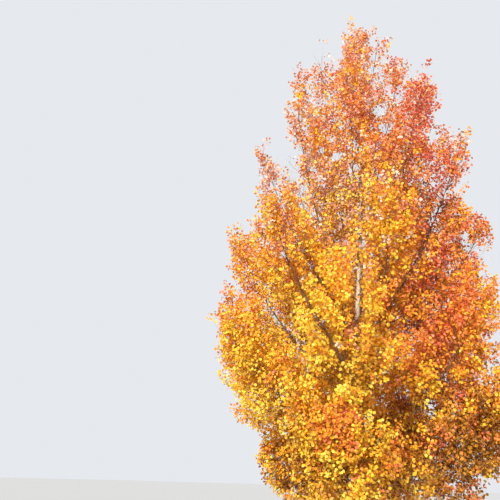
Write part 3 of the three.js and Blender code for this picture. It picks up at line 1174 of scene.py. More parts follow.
# Where the crown can be seen through: to the right of the trunk, height, and half the width.
CROWN_GAPS = (
    (0.39, 6.92, 0.07),
    (0.25, 6.14, 0.1),
    (0.43, 5.82, 0.08),
    (-1.07, 7.3, 0.1),
    (-1.0, 7.05, 0.12),
    (-0.8, 6.85, 0.11),
    (-0.64, 6.7, 0.08),
    (-0.86, 5.66, 0.07),
    (0.74, 9.28, 0.17),
    (0.85, 8.85, 0.13),
    (-0.96, 9.01, 0.11),
    (-0.25, 8.19, 0.12),
    (1.83, 8.55, 0.12),
    (1.61, 7.93, 0.08),
    (1.34, 7.51, 0.07),
    (0.42, 7.32, 0.06),
    (1.75, 6.33, 0.07),
    (-1.76, 8.5, 0.2),
    (-1.52, 8.72, 0.2),
    (-1.46, 8.3, 0.22),
    (-1.3, 8.0, 0.2),
    (-1.16, 7.72, 0.17),
    (-0.95, 7.5, 0.12),
    (-1.5, 9.3, 0.12),
    (-0.47, 11.1, 0.2),
    (-0.62, 10.8, 0.18),
    (-2.18, 6.86, 0.17),
    (-2.26, 6.55, 0.17),
    (-2.85, 4.3, 0.16),
    (-2.8, 4.0, 0.14),
    (0.7, 11.13, 0.12),
    (0.67, 10.82, 0.12),
    (1.31, 10.9, 0.16),
    (2.07, 10.07, 0.2),
    (2.15, 9.7, 0.14),
    (2.6, 9.1, 0.16),
    (2.7, 6.84, 0.22),
    (2.5, 6.95, 0.15),
    (2.39, 5.98, 0.14),
    (2.6, 5.85, 0.16),
    (2.27, 6.2, 0.12),
    (2.45, 7.15, 0.1),
    (1.13, 8.28, 0.07),
    (0.61, 10.43, 0.14),
    (-0.38, 9.83, 0.09),
    (1.2, 9.69, 0.12),
    (-0.74, 7.89, 0.07),
    (0.26, 8.33, 0.05),
    (0.2, 9.9, 0.07),
)


@dataclass(frozen=True)
class Clearings:
    """Where the crown is open: right through, and before stretches of trunk and limb that show.

    A small gap's place to the right of the trunk, its height and half its width lie between gap_low and
    gap_high, by chances that are raised to gap_bias. trunk_shown gives stretches by their heights, and
    limbs_shown by their shares of a limb. The sunlit stretch of the trunk is open towards the key light
    too.
    """

    small_gaps: int = 90
    gap_low: Triple = (-1.5, 7.3, 0.03)
    gap_high: Triple = (2.2, 10.9, 0.075)
    gap_bias: Triple = (1.5, 1.0, 1.0)
    trunk_shown: tuple[Triple, ...] = ((4.0, 4.7, 0.05), (4.7, 5.5, 0.13), (5.5, 7.8, 0.05))
    trunk_points: int = 60
    trunk_sunlit: Span = (4.7, 5.5)
    sunlit_width: float = 0.15
    light_distance: float = 200.0
    limbs_shown: tuple[tuple[str, float, float], ...] = (
        ("middle_1", 0.4, 0.7),
        ("middle_2", 0.15, 0.8),
        ("high_1", 0.15, 0.85),
        ("high_4", 0.1, 0.85),
        ("low_1", 0.62, 0.8),
    )
    limb_width: float = 0.062
    limb_cleared: float = 0.9
    line_points: int = 40

    def openings(self, skeleton: Skeleton) -> list[Opening]:
        """Lists the openings.

        Args:
            skeleton: The tree's trunk and limbs.

        Returns:
            The gaps through the crown, and then those before the trunk and the limbs.
        """
        rng = np.random.default_rng(SEED + 1)
        low, high = np.array(self.gap_low), np.array(self.gap_high)
        small = mix(low, high, rng.random((self.small_gaps, 3)) ** np.array(self.gap_bias))
        found = [Opening(np.array([[x, 0.0, z]]), width) for x, z, width in (*CROWN_GAPS, *small)]
        for foot, top, width in self.trunk_shown:
            line = skeleton.trunk.axis(np.linspace(foot, top, self.trunk_points))
            found.append(Opening(line, width, through=False))
        line = skeleton.trunk.axis(np.linspace(*self.trunk_sunlit, self.line_points))
        found.append(Opening(line, self.sunlit_width, through=False, eye=self._light()))
        limbs = {limb.name: limb for limb in skeleton.limbs}
        for name, first, last in self.limbs_shown:
            line = limbs[name].points(np.linspace(first, last, self.line_points))
            found.append(Opening(line, self.limb_width, through=False, cleared=self.limb_cleared))
        return found

    def _light(self) -> Triple:
        """Gives a far point towards the key light.

        Returns:
            The point.
        """
        turn, fall = (math.radians(angle) for angle in KEY_AIM)
        towards = (math.sin(turn) * math.cos(fall), -math.cos(turn) * math.cos(fall), -math.sin(fall))
        return tuple(self.light_distance * part for part in towards)


@dataclass(frozen=True)
class ColourZone:
    """A part of the crown that is warmer, cooler, paler or browner than the rest: paler with painted
    highlights, browner with painted shade.
    """

    x: float
    z: float
    radius: float
    warm: float = 0.0
    pale: float = 0.0
    brown: float = 0.0

    def weight(self, points: Array) -> Array:
        """Gives how strongly the zone counts at points, from 0 to 1."""
        far = ((points[:, 0] - self.x) ** 2 + (points[:, 2] - self.z) ** 2) / self.radius**2
        return np.exp(-far)


@dataclass(frozen=True)
class AutumnColours:
    """How the tints are dealt out to the sprays: by height, by zone and by chance.

    Warmth runs from the coolest tint at 0 to the warmest of the steps at 1. Paleness and brownness are
    the chances of a pale or a brown tint in its place, and the two shares say how many of those are the
    rarer tint. The pale tints, more of them towards the top and on the left where the light falls, are
    painted highlights and painted sky reflection. The brown ones are a few brown leaves and, on the right
    and low down, painted shade.
    """

    heights: tuple[float, ...] = (0.5, 2.5, 4.0, 6.0, 8.0, 10.0, 12.0)
    warmth: tuple[float, ...] = (0.26, 0.24, 0.28, 0.3, 0.43, 0.57, 0.62)
    # More pale tints higher up: painted highlights and painted sky reflection on the top of the crown.
    paleness: tuple[float, ...] = (0.0, 0.0, 0.03, 0.14, 0.34, 0.42, 0.46)
    # Zones of leaf colour. Their pale weights are painted highlights, and their brown weights painted shade.
    zones: tuple[ColourZone, ...] = (
        ColourZone(1.7, 7.8, 1.0, warm=0.46, pale=-0.16),
        # Browner on the right side, away from the key light: painted shade.
        ColourZone(2.1, 5.6, 0.8, warm=0.42, brown=0.12),
        ColourZone(2.0, 7.0, 0.8, warm=0.18, brown=0.26),
        ColourZone(-2.3, 4.9, 0.65, warm=0.22),
        # Paler on the lit left side: painted highlights.
        ColourZone(-1.6, 7.1, 0.8, warm=0.44, pale=0.34),
        ColourZone(-1.1, 9.4, 1.0, warm=-0.12, pale=0.26),
        # Cooler and paler in the middle: painted light over a hollow that the masses around it shade.
        ColourZone(-0.4, 6.6, 1.0, warm=-0.3, pale=0.16),
        ColourZone(-0.6, 4.2, 0.8, warm=-0.1),
        ColourZone(1.45, 3.9, 0.95, warm=0.42),
        ColourZone(0.4, 8.3, 0.7, warm=0.08),
        ColourZone(-0.35, 2.35, 0.4, warm=0.31),
        ColourZone(-1.6, 3.0, 0.8, warm=-0.14),
        ColourZone(0.56, 3.8, 0.35, warm=-0.24),
        # Browner low down on the left and on the right: painted shade under the crown.
        ColourZone(-1.1, 1.3, 0.8, brown=0.5),
        ColourZone(1.9, 1.8, 1.0, warm=0.3, brown=0.8),
    )
    brownness: float = 0.015
    glint_share: float = 0.4
    russet_share: float = 0.3
    bough_chance: float = 0.03
    branch_chance: float = 0.08
    shoot_chance: float = 0.17

    def deal(self, shoots: Shoots, branch: Array, rng: np.random.Generator) -> Array:
        """Gives each spray its tint.

        Args:
            shoots: The shoots that carry the leaves.
            branch: The branch that each shoot belongs to.
            rng: The chances.

        Returns:
            The place of each shoot's tint among the tints.
        """
        places = shoots.start
        warm = np.interp(places[:, 2], self.heights, self.warmth)
        pale = np.interp(places[:, 2], self.heights, self.paleness)
        brown = np.full(len(places), self.brownness)
        for zone in self.zones:
            weight = zone.weight(places)
            warm += zone.warm * weight
            pale += zone.pale * weight
            brown += zone.brown * weight
        warm += self.bough_chance * rng.standard_normal(shoots.owner.max() + 1)[shoots.owner]
        warm += self.branch_chance * rng.standard_normal(branch.max() + 1)[branch]
        warm += self.shoot_chance * rng.standard_normal(len(places))
        tint = np.clip(np.rint(warm * WARM_STEPS), 0, WARM_STEPS).astype(int)
        # Pale tints are painted highlights and sky reflection. Brown tints are a few brown leaves and painted
        # shade.
        odd = (
            (pale, self.glint_share, LeafTint.BLUSH, LeafTint.SALMON),
            (brown, self.russet_share, LeafTint.RUSSET, LeafTint.OCHRE),
        )
        for chance, share, rare, common in odd:
            draw = rng.random(len(places))
            other = np.where(draw < share * chance, TINTS.index(rare), TINTS.index(common))
            tint = np.where(draw < chance, other, tint)
        return tint


@dataclass
class Trunk:
    """The trunk: one mesh with the bark's relief, from the flat cut at its foot to the tip.

    Its rings crowd towards the foot. A scale counts a relief's features in a metre, along x, y and z. A scar
    is an eye under two falling brows: its form is given as factors of its size, and brow_slope is how
    steeply the brows fall.
    """

    form: TrunkForm
    limbs: Sequence[Limb]
    sides: int = 48
    rings: int = 430
    ring_crowding: float = 1.15
    noise_seed: int = 3
    furrow_scale: Triple = (26.0, 26.0, 3.2)
    foot_furrow: float = 0.007
    foot_height: float = 1.5
    foot_fade: float = 1.5
    foot_calm: float = 0.5
    ripple: float = 0.0012
    ripple_scale: Triple = (18.0, 18.0, 60.0)
    lump_scale: float = 9.0
    lump_share: float = 0.7
    limb_scar: float = 1.5
    limb_scar_rise: float = 0.05
    knots: int = 46
    knot_levels: Span = (0.5, 8.5)
    knot_sizes: Span = (0.6, 1.1)
    knot_size: float = 0.03
    knot_height: float = 0.007
    brow_slope: float = 1.1
    scar_width: float = 1.5
    scar_height: float = 0.75

    def build(self, finish: bpy.types.Material) -> bpy.types.Object:
        """Makes the trunk and dresses it.

        Args:
            finish: Its bark.

        Returns:
            The piece.
        """
        heights = self.form.height * np.linspace(0, 1, self.rings) ** self.ring_crowding
        angles = 2 * math.pi * np.arange(self.sides) / self.sides
        height, angle = np.meshgrid(heights, angles, indexing="ij")
        radius = self.form.radius_at(height) + self.form.flare_at(height, angle)
        relief, scar = self._relief(height, angle, radius)
        spoke = np.stack([np.cos(angle), np.sin(angle), np.zeros_like(angle)], -1)
        points = self.form.axis(height) + spoke * (radius + relief)[..., None]
        points[0, :, 2] = 0.0
        ends = [self.form.axis(heights[:1])[0], self.form.axis(heights[-1:])[0]]
        side = np.arange(self.sides)
        turn = (side + 1) % self.sides
        foot = self.rings * self.sides
        last = foot - self.sides
        caps = [
            np.stack([turn, side, np.full(self.sides, foot)], -1),
            np.stack([last + side, last + turn, np.full(self.sides, foot + 1)], -1),
        ]
        triangles = np.concatenate([ring_faces(self.rings, self.sides), *caps])
        points = np.concatenate([points.reshape(-1, 3), ends])
        piece = make_piece("trunk_bark", points, triangles, [finish], smooth=True)
        add_share(piece, "scar", np.concatenate([scar.ravel(), [0.0, 0.0]]))
        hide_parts("trunk")
        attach(piece, BODY)
        return piece

    def _relief(self, height: Array, angle: Array, radius: Array) -> tuple[Array, Array]:
        """Works out how far the bark stands out of the trunk's form, and where it is scarred.

        Args:
            height: The height of each point.
            angle: The angle of each point round the trunk.
            radius: The trunk's radius at each point.

        Returns:
            The relief in metres, and the scars from 0 to 1.
        """
        noise = Lattice(self.noise_seed)
        round_ = np.stack([np.cos(angle) * radius, np.sin(angle) * radius, height], -1)
        furrows = 1 - 2 * np.abs(noise.at(round_ * np.array(self.furrow_scale)))
        ripples = noise.at(round_ * np.array(self.ripple_scale))
        ripples += self.lump_share * noise.at(round_ * self.lump_scale)
        fade = np.clip(1 - height / self.foot_height, 0, 1) ** self.foot_fade
        thick = np.minimum(1.0, radius / self.form.radius)
        relief = self.foot_furrow * fade * furrows
        relief += self.ripple * (1 - self.foot_calm * fade) * ripples * thick
        relief[0] = np.minimum(relief[0], 0.0)
        scar = np.zeros_like(height)
        for level, turn, size in self._marks():
            wide = self.knot_size * size
            away = np.angle(np.exp(1j * (angle - turn))) * radius
            drop = height - level + self.brow_slope * np.abs(away)
            eye = np.exp(-((away / (self.scar_width * wide)) ** 2) - (drop / (self.scar_height * wide)) ** 2)
            relief += self.knot_height * size * eye * thick
            scar = np.maximum(scar, eye)
        return relief, scar

    def _marks(self) -> list[Triple]:
        """Lists the scars' heights, angles and sizes: one over each limb, and those of fallen limbs.

        Returns:
            The height, the angle round the trunk and the size of each.
        """
        rng = np.random.default_rng(SEED)
        marks = []
        for limb in self.limbs[:-1]:
            turn = math.atan2(limb.out[1], limb.out[0])
            marks.append((limb.root[2] + self.limb_scar_rise, turn, self.limb_scar))
        for _ in range(self.knots):
            level, turn = rng.uniform(*self.knot_levels), rng.uniform(-math.pi, math.pi)
            marks.append((level, turn, rng.uniform(*self.knot_sizes)))
        return marks


@dataclass
class Limbs:
    """The limbs of one tier: each one tapering mesh with the bark's relief, from the trunk to its tip.

    Scales count the features of the lumps, of finer ones and of the grain in a metre.
    """

    tier: Tier
    limbs: Sequence[Limb]
    sides: int = 12
    steps: int = 64
    noise_seed: int = 7
    swell: float = 0.07
    lump_scale: float = 9.0
    fine_scale: float = 31.0
    fine_share: float = 0.6
    grain: float = 0.0012
    grain_scale: float = 60.0

    def build(self, finish: bpy.types.Material) -> bpy.types.Object:
        """Makes the tier's limbs as one piece.

        Args:
            finish: Their bark.

        Returns:
            The piece.
        """
        shares = np.linspace(0, 1, self.steps + 1)
        centres = np.stack([limb.points(shares) for limb in self.limbs])
        radii = np.stack([limb.radius_at(shares[:-1]) for limb in self.limbs])
        noise = Lattice(self.noise_seed)
        lumps = noise.at(centres[:, :-1] * self.lump_scale)
        lumps += self.fine_share * noise.at(centres[:, :-1] * self.fine_scale)
        radii *= 1 + self.swell * lumps
        across = np.stack([limb.side for limb in self.limbs])
        points, triangles = pointed_tubes(centres, radii, across, self.sides)
        points += self.grain * noise.at(points * self.grain_scale)[:, None] * UP
        piece = make_piece("limbs_" + self.tier.name, points, triangles, [finish], smooth=True)
        each = np.append(np.repeat(shares[:-1], self.sides), 1.0)
        add_share(piece, "thin", np.tile(each, len(self.limbs)))
        if self.tier.bare > 0:
            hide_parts(*("bough_" + limb.name for limb in self.limbs))
        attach(piece, BODY)
        return piece


@dataclass(frozen=True)
class Leaves:
    """The form of one leaf: a round blade with a point, folded along its rib, on a long flat stalk.

    shoulders gives its two widest places: how far along the blade, and factors of its half-width and its
    fold. The points are the stalk's two, the blade's base, both shoulders on each side, and the tip.
    """

    POINTS: ClassVar[int] = 8
    FACES: ClassVar[Array] = np.array([[0, 1, 2], [2, 3, 4], [2, 4, 7], [2, 6, 5], [2, 7, 6]])

    length: Span = (0.047, 0.064)
    stalk: Span = (0.028, 0.042)
    stalk_width: float = 0.0011
    wide: float = 0.5
    fold: float = 0.13
    curl: float = 0.08
    shoulders: tuple[Triple, ...] = ((0.3, 1.0, 1.0), (0.7, 0.78, 0.9))
    scatter: float = 0.7
    droop: float = 0.55

    def make(self, roots: Array, out: Array, facing: Array, rng: np.random.Generator) -> tuple[Array, Array]:
        """Makes many leaves at once.

        Args:
            roots: Where each stalk leaves its shoot.
            out: The direction of each stalk.
            facing: The way that each blade looks, roughly.
            rng: The chances.

        Returns:
            The vertices, eight a leaf, and the triangles, five a leaf.
        """
        count = len(roots)
        length = rng.uniform(*self.length, count)[:, None]
        base = roots + out * rng.uniform(*self.stalk, count)[:, None]
        hang = unit(out + self.scatter * rng.standard_normal((count, 3)) - self.droop * UP)
        normal = square_to(facing, hang)
        across = np.cross(hang, normal)
        points = [roots + self.stalk_width * across, roots - self.stalk_width * across, base]
        for side in (1.0, -1.0):
            for along, wide, high in self.shoulders:
                sideways, upwards = side * wide * self.wide * across, high * self.fold * normal
                points.append(base + length * (along * hang + sideways + upwards))
        points.append(base + length * (hang - self.curl * normal))
        triangles = self.FACES[None] + self.POINTS * np.arange(count)[:, None, None]
        return np.stack(points, axis=1).reshape(-1, 3), triangles.reshape(-1, 3)


@dataclass
class Growth:
    """The growth that goes on from the limbs inside each mass's space: branches, twigs and shoots.

    box is the solids' lowest and highest corner. Growth keeps the margin from its sides, and stays between
    crown_foot and crown_top. skin is the range of the depths at which the branches' spaces end. fullness
    divides the branches' spacing by tier. narrowing is how much thinner growth starts at its parent's tip.
    Thinning is the chance that a branch or a shoot is left out, by height and by depth in the crown.
    """

    skeleton: Skeleton
    box: Sequence[Sequence[float]]
    clearings: Clearings = Clearings()
    branch: BranchHabit = BranchHabit()
    inner: InnerHabit = InnerHabit()
    wand: WandHabit = WandHabit()
    twig: Habit = Habit(0.095, 0.14, 44.0, (0.32, 0.5), 0.13, 0.5, 0.2, 0.16)
    shoot: Habit = Habit(0.066, 0.12, 44.0, (0.2, 0.4), 0.085, 0.6, 0.16, 0.12)
    skin: Span = (0.86, 1.28)
    fullness: dict[str, float] = field(default_factory=lambda: {"skirt": 2.3, "low": 1.3, "leader": 1.4})
    station_scatter: Span = (0.1, 0.9)
    least_stations: int = 3
    line_points: int = 24
    narrowing: float = 0.6
    thinning_heights: tuple[float, ...] = (5.5, 7.5, 9.5, 11.5)
    branch_thinning: tuple[float, ...] = (0.0, 0.14, 0.32, 0.32)
    shoot_thinning: tuple[float, ...] = (0.0, 0.22, 0.45, 0.48)
    leader_thinning: float = 0.5
    core_depths: Span = (0.1, 0.6)
    core_thinning: Span = (0.6, 0.0)
    margin: float = 0.06
    crown_foot: float = 0.7
    crown_top: float = 11.76
    rng: np.random.Generator = field(init=False)
    spaces: CrownSpaces = field(init=False)
    openings: list[Opening] = field(init=False)
    leader: int = field(init=False)
    branches: Shoots = field(init=False)
    twigs: Shoots = field(init=False)
    shoots: Shoots = field(init=False)

    def __post_init__(self) -> None:
        """Sets up the chances, the spaces, the openings and the leader's place among the limbs."""
        self.rng = np.random.default_rng(SEED)
        self.spaces = CrownSpaces(self.skeleton.limbs)
        self.openings = self.clearings.openings(self.skeleton)
        self.leader = len(self.skeleton.limbs) - 1

    def grow(self) -> None:
        """Grows the branches, the twigs and the shoots, one generation from the other."""
        branches = self._branches()
        thinned = np.interp(branches.tips[:, 2], self.thinning_heights, self.branch_thinning)
        leading = branches.owner == self.leader
        branches = branches.select((self.rng.random(len(thinned)) > thinned) | leading)
        self.branches = branches.joined(self._inner_branches())
        self.twigs = self._offshoots(self.branches, self.twig).joined(self._wands(self.branches))
        shoots = self._offshoots(self.twigs, self.shoot)
        thinned = np.interp(shoots.start[:, 2], self.thinning_heights, self.shoot_thinning)
        thinned[shoots.owner == self.leader] *= self.leader_thinning
        depths = self.spaces.core(shoots.start)
        thinned = np.maximum(thinned, np.interp(depths, self.core_depths, self.core_thinning))
        self.shoots = shoots.select((self.rng.random(len(thinned)) > thinned) & ~self.cleared(shoots.tips))
        LOG.info("%d branches, %d twigs, %d shoots", *(len(one.length) for one in self.generations()))

    def generations(self) -> tuple[Shoots, Shoots, Shoots]:
        """Gives the generations in order."""
        return self.branches, self.twigs, self.shoots

    def cleared(self, points: Array) -> Array:
        """Tells which points stand in the way of an opening."""
        return np.any([opening.clears(points, self.rng) for opening in self.openings], axis=0)

    def fits(self, owners: Array, points: Array, skin: Array) -> Array:
        """Tells which points stay in their mass's space, and leave room for a leaf before the solids' box.

        Args:
            owners: Each point's mass.
            points: The points.
            skin: The depth at which the space ends for each.

        Returns:
            True for each point that does.
        """
        low, high = (np.array(corner) for corner in self.box)
        low[2], high[2] = self.crown_foot, self.crown_top
        inside = np.all((points > low + self.margin) & (points < high - self.margin), axis=1)
        return self.spaces.kept(owners, points, skin) & inside

    def _stations(self, low: float, high: float, spacing: float, limb: Limb) -> tuple[Array, Array]:
        """Spreads branches along a stretch of a limb.

        Args:
            low: The share of the limb's line at which the stretch starts.
            high: The share at which it ends.
            spacing: The distance between two branches, before the tier's fullness.
            limb: The limb.

        Returns:
            The share of the line where each leaves it, and its place between the two ends.
        """
        line = limb.points(np.linspace(low, high, self.line_points))
        length = np.linalg.norm(np.diff(line, axis=0), axis=1).sum()
        spacing /= self.fullness.get(limb.tier.name, 1.0)
        count = max(self.least_stations, round(length / spacing))
        share = (np.arange(count) + self.rng.uniform(*self.station_scatter, count)) / count
        return mix(low, high, share), share

    def _winding(self, count: int) -> Array:
        """Gives the angles at which growth winds round its parent, from one by chance."""
        return self.rng.uniform(0, 2 * math.pi) + GOLDEN_ANGLE * np.arange(count)

    def _branches(self) -> Shoots:
        """Grows the branches, which wind round each stem and reach towards the skin of its space.

        Returns:
            The branches.
        """
        rng, habit = self.rng, self.branch
        rows = []
        for index, limb in enumerate(self.skeleton.limbs):
            t, share = self._stations(limb.tier.leafy, habit.last, habit.spacing, limb)
            scatter = rng.uniform(-habit.lean_scatter, habit.lean_scatter, len(t))
            lean = np.radians(mix(*habit.lean, share) + scatter)
            direction = lean_out(limb.tangents(t), self._winding(len(t)), lean, habit.rise)
            rows.append((limb.points(t), direction, np.full(len(t), index), share, limb.radius_at(t)))
        start, direction, owner, share, thick = (np.concatenate(column) for column in zip(*rows))
        skin = rng.uniform(*self.skin, len(owner))
        room = self.spaces.room(owner, start, direction, habit.longest, skin)
        length = room * rng.uniform(*habit.fill, len(room)) * (1 - habit.shortening * share**2)
        radius = np.minimum(habit.stem_share * thick, habit.thick[0] + habit.thick[1] * length)
        grown = Shoots(start, direction, length, radius, owner, np.arange(len(owner)), skin, habit.lift)
        return grown.select(length > habit.least)

    def _inner_branches(self) -> Shoots:
        """Grows the short leafy branches on the boughs, before their masses, and on the trunk's top.

        Returns:
            The branches, free of any mass's space.
        """
        rng, habit, rise = self.rng, self.inner, self.branch.rise
        rows = []
        for index, limb in enumerate(self.skeleton.limbs):
            if limb.tier.bare == 0:
                continue
            t, _ = self._stations(habit.first, limb.tier.bare, habit.spacing, limb)
            turn = self._winding(len(t))
            lean = np.radians(rng.uniform(*habit.lean, len(t)))
            direction = lean_out(limb.tangents(t), turn, lean, rise)
            rows.append((limb.points(t), direction, np.full(len(t), index)))
        heights = np.arange(habit.trunk_from, self.skeleton.trunk.height, habit.trunk_spacing)
        lean = np.radians(rng.uniform(*habit.trunk_lean, len(heights)))
        upright = np.tile(UP, (len(heights), 1))
        direction = lean_out(upright, GOLDEN_ANGLE * np.arange(len(heights)), lean, rise)
        rows.append((self.skeleton.trunk.axis(heights), direction, np.full(len(heights), self.leader)))
        start, direction, owner = (np.concatenate(column) for column in zip(*rows))
        length = rng.uniform(*habit.length, len(owner))
        length[owner == self.leader] = rng.uniform(*habit.trunk_length, np.sum(owner == self.leader))
        radius = habit.thick[0] + habit.thick[1] * length
        free = np.full(len(owner), np.inf)
        return Shoots(start, direction, length, radius, owner, np.arange(len(owner)), free, self.branch.lift)

    def _wands(self, branches: Shoots) -> Shoots:
        """Grows the upright wands that stand out of the crown's skin.

        Args:
            branches: The branches that they grow on.

        Returns:
            The wands, those that stand out too far left out.
        """
        rng, habit = self.rng, self.wand
        rows = np.flatnonzero(np.isfinite(branches.skin) & (rng.random(len(branches.length)) < habit.chance))
        share = rng.uniform(*habit.seat, len(rows))
        start = branches.points(rows, share)
        wild = habit.wild * rng.standard_normal((len(rows), 3))
        direction = unit(habit.along * branches.direction[rows] + habit.up * UP + wild)
        length = rng.uniform(*habit.length, len(rows))
        radius = habit.thin * branches.radius[rows] * (1 - self.narrowing * share)
        radius = np.maximum(habit.thinnest, radius)
        skin = np.full(len(rows), habit.skin)
        owner = branches.owner[rows]
        return self._fitting(Shoots(start, direction, length, radius, owner, rows, skin, self.twig.lift))

    def _fitting(self, grown: Shoots) -> Shoots:
        """Gives those shoots whose tips fit."""
        return grown.select(self.fits(grown.owner, grown.tips, grown.skin))

    def _offshoots(self, parents: Shoots, habit: Habit) -> Shoots:
        """Grows the next generation along shoots.

        Args:
            parents: The shoots that it starts on.
            habit: How it grows.

        Returns:
            The new shoots, those that would leave their mass's space left out.
        """
        rng = self.rng
        first = habit.first
        counts = np.maximum(1, np.rint(parents.length * (1 - first) / habit.spacing)).astype(int) + 1
        row = np.repeat(np.arange(len(counts)), counts)
        station = np.arange(len(row)) - np.repeat(np.cumsum(counts) - counts, counts)
        steps = np.maximum(1, counts - 1)[row]
        aside = rng.uniform(-habit.seat_scatter, habit.seat_scatter, len(row))
        share = first + (1 - first) * (station + aside) / steps
        end = station == counts[row] - 1
        share = np.where(end, habit.tip_seat, np.clip(share, first, 1.0))
        along = parents.tangents(row, share)
        lean = habit.lean + rng.uniform(-habit.lean_scatter, habit.lean_scatter, len(row))
        lean = np.where(end, habit.tip_lean, lean)
        turn = GOLDEN_ANGLE * station + rng.uniform(0, 2 * math.pi, len(counts))[row]
        direction = lean_out(along, turn, np.radians(lean), habit.rise)
        left = parents.length[row] * (1 - share)
        length = habit.least * rng.uniform(*habit.least_scatter, len(row))
        length += left * rng.uniform(*habit.ratio, len(row))
        radius = habit.thin * parents.radius[row] * (1 - self.narrowing * share)
        radius = np.maximum(habit.thinnest, radius)
        start, owner, skin = parents.points(row, share), parents.owner[row], parents.skin[row]
        return self._fitting(Shoots(start, direction, length, radius, owner, row, skin, habit.lift))


@dataclass
class Foliage:
    """The pieces of the crown: its fine wood and its leaves.

    Leaves stand at both ends of equal steps along a shoot, leaf_steps of them, from the first share of
    leaf_seat to the second. leaf_facing weighs how far they face outwards, upwards and anywhere.
    """

    HALVES: ClassVar[dict[str, tuple[str, ...]]] = {
        "lower": ("skirt", "low", "middle"),
        "upper": ("high", "upper", "top", "leader"),
    }

    growth: Growth
    colours: AutumnColours = AutumnColours()
    leaves: Leaves = Leaves()
    leaf_steps: int = 5
    leaf_seat: Span = (0.2, 1.0)
    leaf_scatter: float = 0.06
    leaf_lean: float = 62.0
    tip_leaf_lean: float = 15.0
    leaf_facing: Triple = (0.6, 0.35, 0.75)

    def build_twigs(self) -> None:
        """Makes the wood of all generations, as one piece for the lower tiers and one for the upper."""
        tints = list(TwigTint)
        finishes = [tint.material() for tint in tints]
        limbs = self.growth.skeleton.limbs
        for half, tiers in self.HALVES.items():
            inside = np.array([limb.tier.name in tiers for limb in limbs])
            parts, count = [], 0
            for generation, wood in zip(self.growth.generations(), WOODS):
                points, faces = generation.select(inside[generation.owner]).tubes(wood)
                parts.append((points, faces + count, np.full(len(faces), tints.index(wood.tint))))
                count += len(points)
            points, triangles, slots = (np.concatenate(column) for column in zip(*parts))
            piece = make_piece("twigs_" + half, points, triangles, finishes, slots)
            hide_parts(*("leaves_" + limb.name for limb, held in zip(limbs, inside) if held))
            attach(piece, BODY)

    def build_leaves(self) -> None:
        """Makes the leaves, one piece a tier, in the tints that are dealt out by shoot."""
        growth, rng = self.growth, self.growth.rng
        tint = self.colours.deal(growth.shoots, growth.twigs.parent[growth.shoots.parent], rng)
        row, roots, out, facing = self._places()
        owner = growth.shoots.owner[row]
        kept = growth.fits(owner, roots, growth.shoots.skin[row])
        kept &= ~growth.cleared(roots)
        materials = [one.material() for one in TINTS]
        limbs = growth.skeleton.limbs
        tier_of = np.array([TIERS.index(TIERS[-1] if limb.tier is LEADER else limb.tier) for limb in limbs])
        for number, tier in enumerate(TIERS):
            chosen = kept & (tier_of[owner] == number)
            points, triangles = self.leaves.make(roots[chosen], out[chosen], facing[chosen], rng)
            slots = np.repeat(tint[row[chosen]], len(self.leaves.FACES))
            piece = make_piece("leaves_" + tier.name, points, triangles, materials, slots)
            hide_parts(*("leaves_" + limb.name for limb, at in zip(limbs, tier_of) if at == number))
            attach(piece, BODY)

    def _places(self) -> tuple[Array, Array, Array, Array]:
        """Spreads leaves along the shoots.

        Returns:
            For each leaf its shoot's row, where its stalk starts, the way that this points, and the way
            that the blade looks.
        """
        shoots, rng = self.growth.shoots, self.growth.rng
        count, steps = len(shoots.length), self.leaf_steps
        row = np.repeat(np.arange(count), steps + 1)
        station = np.tile(np.arange(steps + 1), count)
        first, last = self.leaf_seat
        seat = first + (last - first) * station / steps
        share = np.clip(seat + rng.uniform(-self.leaf_scatter, self.leaf_scatter, len(row)), 0, 1)
        roots = shoots.points(row, share)
        turn = GOLDEN_ANGLE * station + rng.uniform(0, 2 * math.pi, count)[row]
        lean = np.where(station == steps, self.tip_leaf_lean, self.leaf_lean)
        out = lean_out(shoots.tangents(row, share), turn, np.radians(lean), 0.0)
        outwards, upwards, anyhow = self.leaf_facing
        wild = anyhow * rng.standard_normal((len(row), 3))
        facing = unit(outwards * unit(roots * (1 - UP)) + upwards * UP + wild)
        return row, roots, out, facing


@dataclass(frozen=True)
class FarLight:
    """One broad far light.

    aim is the angle that it comes from, counted from straight in front towards the right, and its fall.
    softness is how wide it looks. All three are in degrees.
    """

    name: str
    aim: Span
    strength: float
    softness: float
    tone: Colour

    def build(self) -> None:
        """Makes the light."""
        light = bpy.data.lights.new(self.name, "SUN")
        light.energy = self.strength
        light.angle = math.radians(self.softness)
        light.color = self.tone
        lamp = bpy.data.objects.new(self.name, light)
        turn, fall = (math.radians(angle) for angle in self.aim)
        lamp.rotation_euler = (math.pi / 2 + fall, 0.0, turn)
        bpy.context.scene.collection.objects.link(lamp)


LIGHTS = (
    FarLight("key_light", KEY_AIM, 4.0, 5.0, (1.0, 0.95, 0.86)),
    FarLight("fill_light", (140.0, -30.0), 1.0, 40.0, (0.92, 0.95, 1.0)),
)


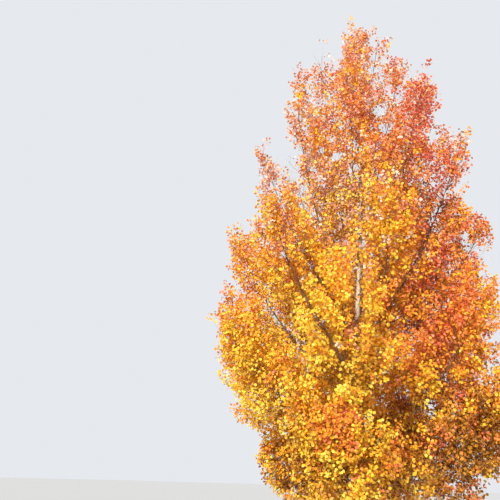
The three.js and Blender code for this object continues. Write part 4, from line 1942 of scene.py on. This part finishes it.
@dataclass(frozen=True)
class Studio:
    """The plain floor, the soft light and the camera at the photograph's viewing angle.

    yaw is the camera's turn to the right, pitch its tilt upwards and roll its tilt to the side, all in
    degrees, and lens its focal length in millimetres.
    """

    eye: Triple = VIEWPOINT
    yaw: float = -10.171
    pitch: float = 20.0
    roll: float = -1.8
    lens: float = 43.2
    farthest: float = 200.0
    floor_radius: float = 60.0
    floor_sides: int = 64
    floor_tone: Colour = (0.46, 0.46, 0.455)
    floor_roughness: float = 0.9
    backdrop_tone: Colour = (0.86, 0.89, 0.93)
    backdrop_strength: float = 0.92

    def build(self) -> None:
        """Makes the floor, the lights and the camera."""
        self._floor()
        for light in LIGHTS:
            light.build()
        world = bpy.data.worlds.new("studio")
        world.use_nodes = True
        background = world.node_tree.nodes["Background"]
        background.inputs["Color"].default_value = (*self.backdrop_tone, 1.0)
        background.inputs["Strength"].default_value = self.backdrop_strength
        bpy.context.scene.world = world
        bpy.context.scene.view_settings.view_transform = "Standard"
        self._camera()

    def _floor(self) -> None:
        """Makes the plain pale floor."""
        side = np.arange(self.floor_sides)
        angle = 2 * math.pi * side / self.floor_sides
        ring = np.stack([np.cos(angle), np.sin(angle), np.zeros(self.floor_sides)], -1)
        points = np.concatenate([ring * self.floor_radius, [[0.0, 0.0, 0.0]]])
        middle = np.full(self.floor_sides, self.floor_sides)
        triangles = np.stack([side, (side + 1) % self.floor_sides, middle], -1)
        graph = ShaderGraph("pale_floor")
        finish = graph.finish(base_color=self.floor_tone, roughness=self.floor_roughness)
        make_piece("floor", points, triangles, [finish])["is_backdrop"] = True

    def _camera(self) -> None:
        """Makes the camera, tilted up at the crown from eye height."""
        yaw, pitch, roll = (math.radians(a) for a in (self.yaw, self.pitch, self.roll))
        ahead = np.array([math.sin(yaw) * math.cos(pitch), math.cos(yaw) * math.cos(pitch), math.sin(pitch)])
        level = np.array([math.cos(yaw), -math.sin(yaw), 0.0])
        above = np.cross(level, ahead)
        right = level * math.cos(roll) - above * math.sin(roll)
        top = above * math.cos(roll) + level * math.sin(roll)
        data = bpy.data.cameras.new("camera")
        data.lens = self.lens
        data.clip_end = self.farthest
        camera = bpy.data.objects.new("camera", data)
        axes = np.stack([right, top, -ahead, self.eye], 1)
        camera.matrix_world = Matrix([*axes.tolist(), [0.0, 0.0, 0.0, 1.0]])
        bpy.context.scene.collection.objects.link(camera)
        bpy.context.scene.camera = camera


def main() -> None:
    """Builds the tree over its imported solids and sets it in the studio."""
    logging.basicConfig(level=logging.INFO, format="%(name)s: %(message)s")
    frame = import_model()
    LOG.info("%d nodes in the frame", len(frame["nodes"]))
    solids_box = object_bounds()
    Studio().build()
    skeleton = Skeleton()
    skeleton.grow()
    skeleton.check()
    Trunk(skeleton.trunk, skeleton.limbs).build(TrunkBark().build())
    bark = LimbBark().build()
    for tier in (*TIERS, LEADER):
        Limbs(tier, [limb for limb in skeleton.limbs if limb.tier is tier]).build(bark)
    growth = Growth(skeleton, solids_box)
    growth.grow()
    foliage = Foliage(growth)
    foliage.build_twigs()
    foliage.build_leaves()


if __name__ == "__main__":
    main()
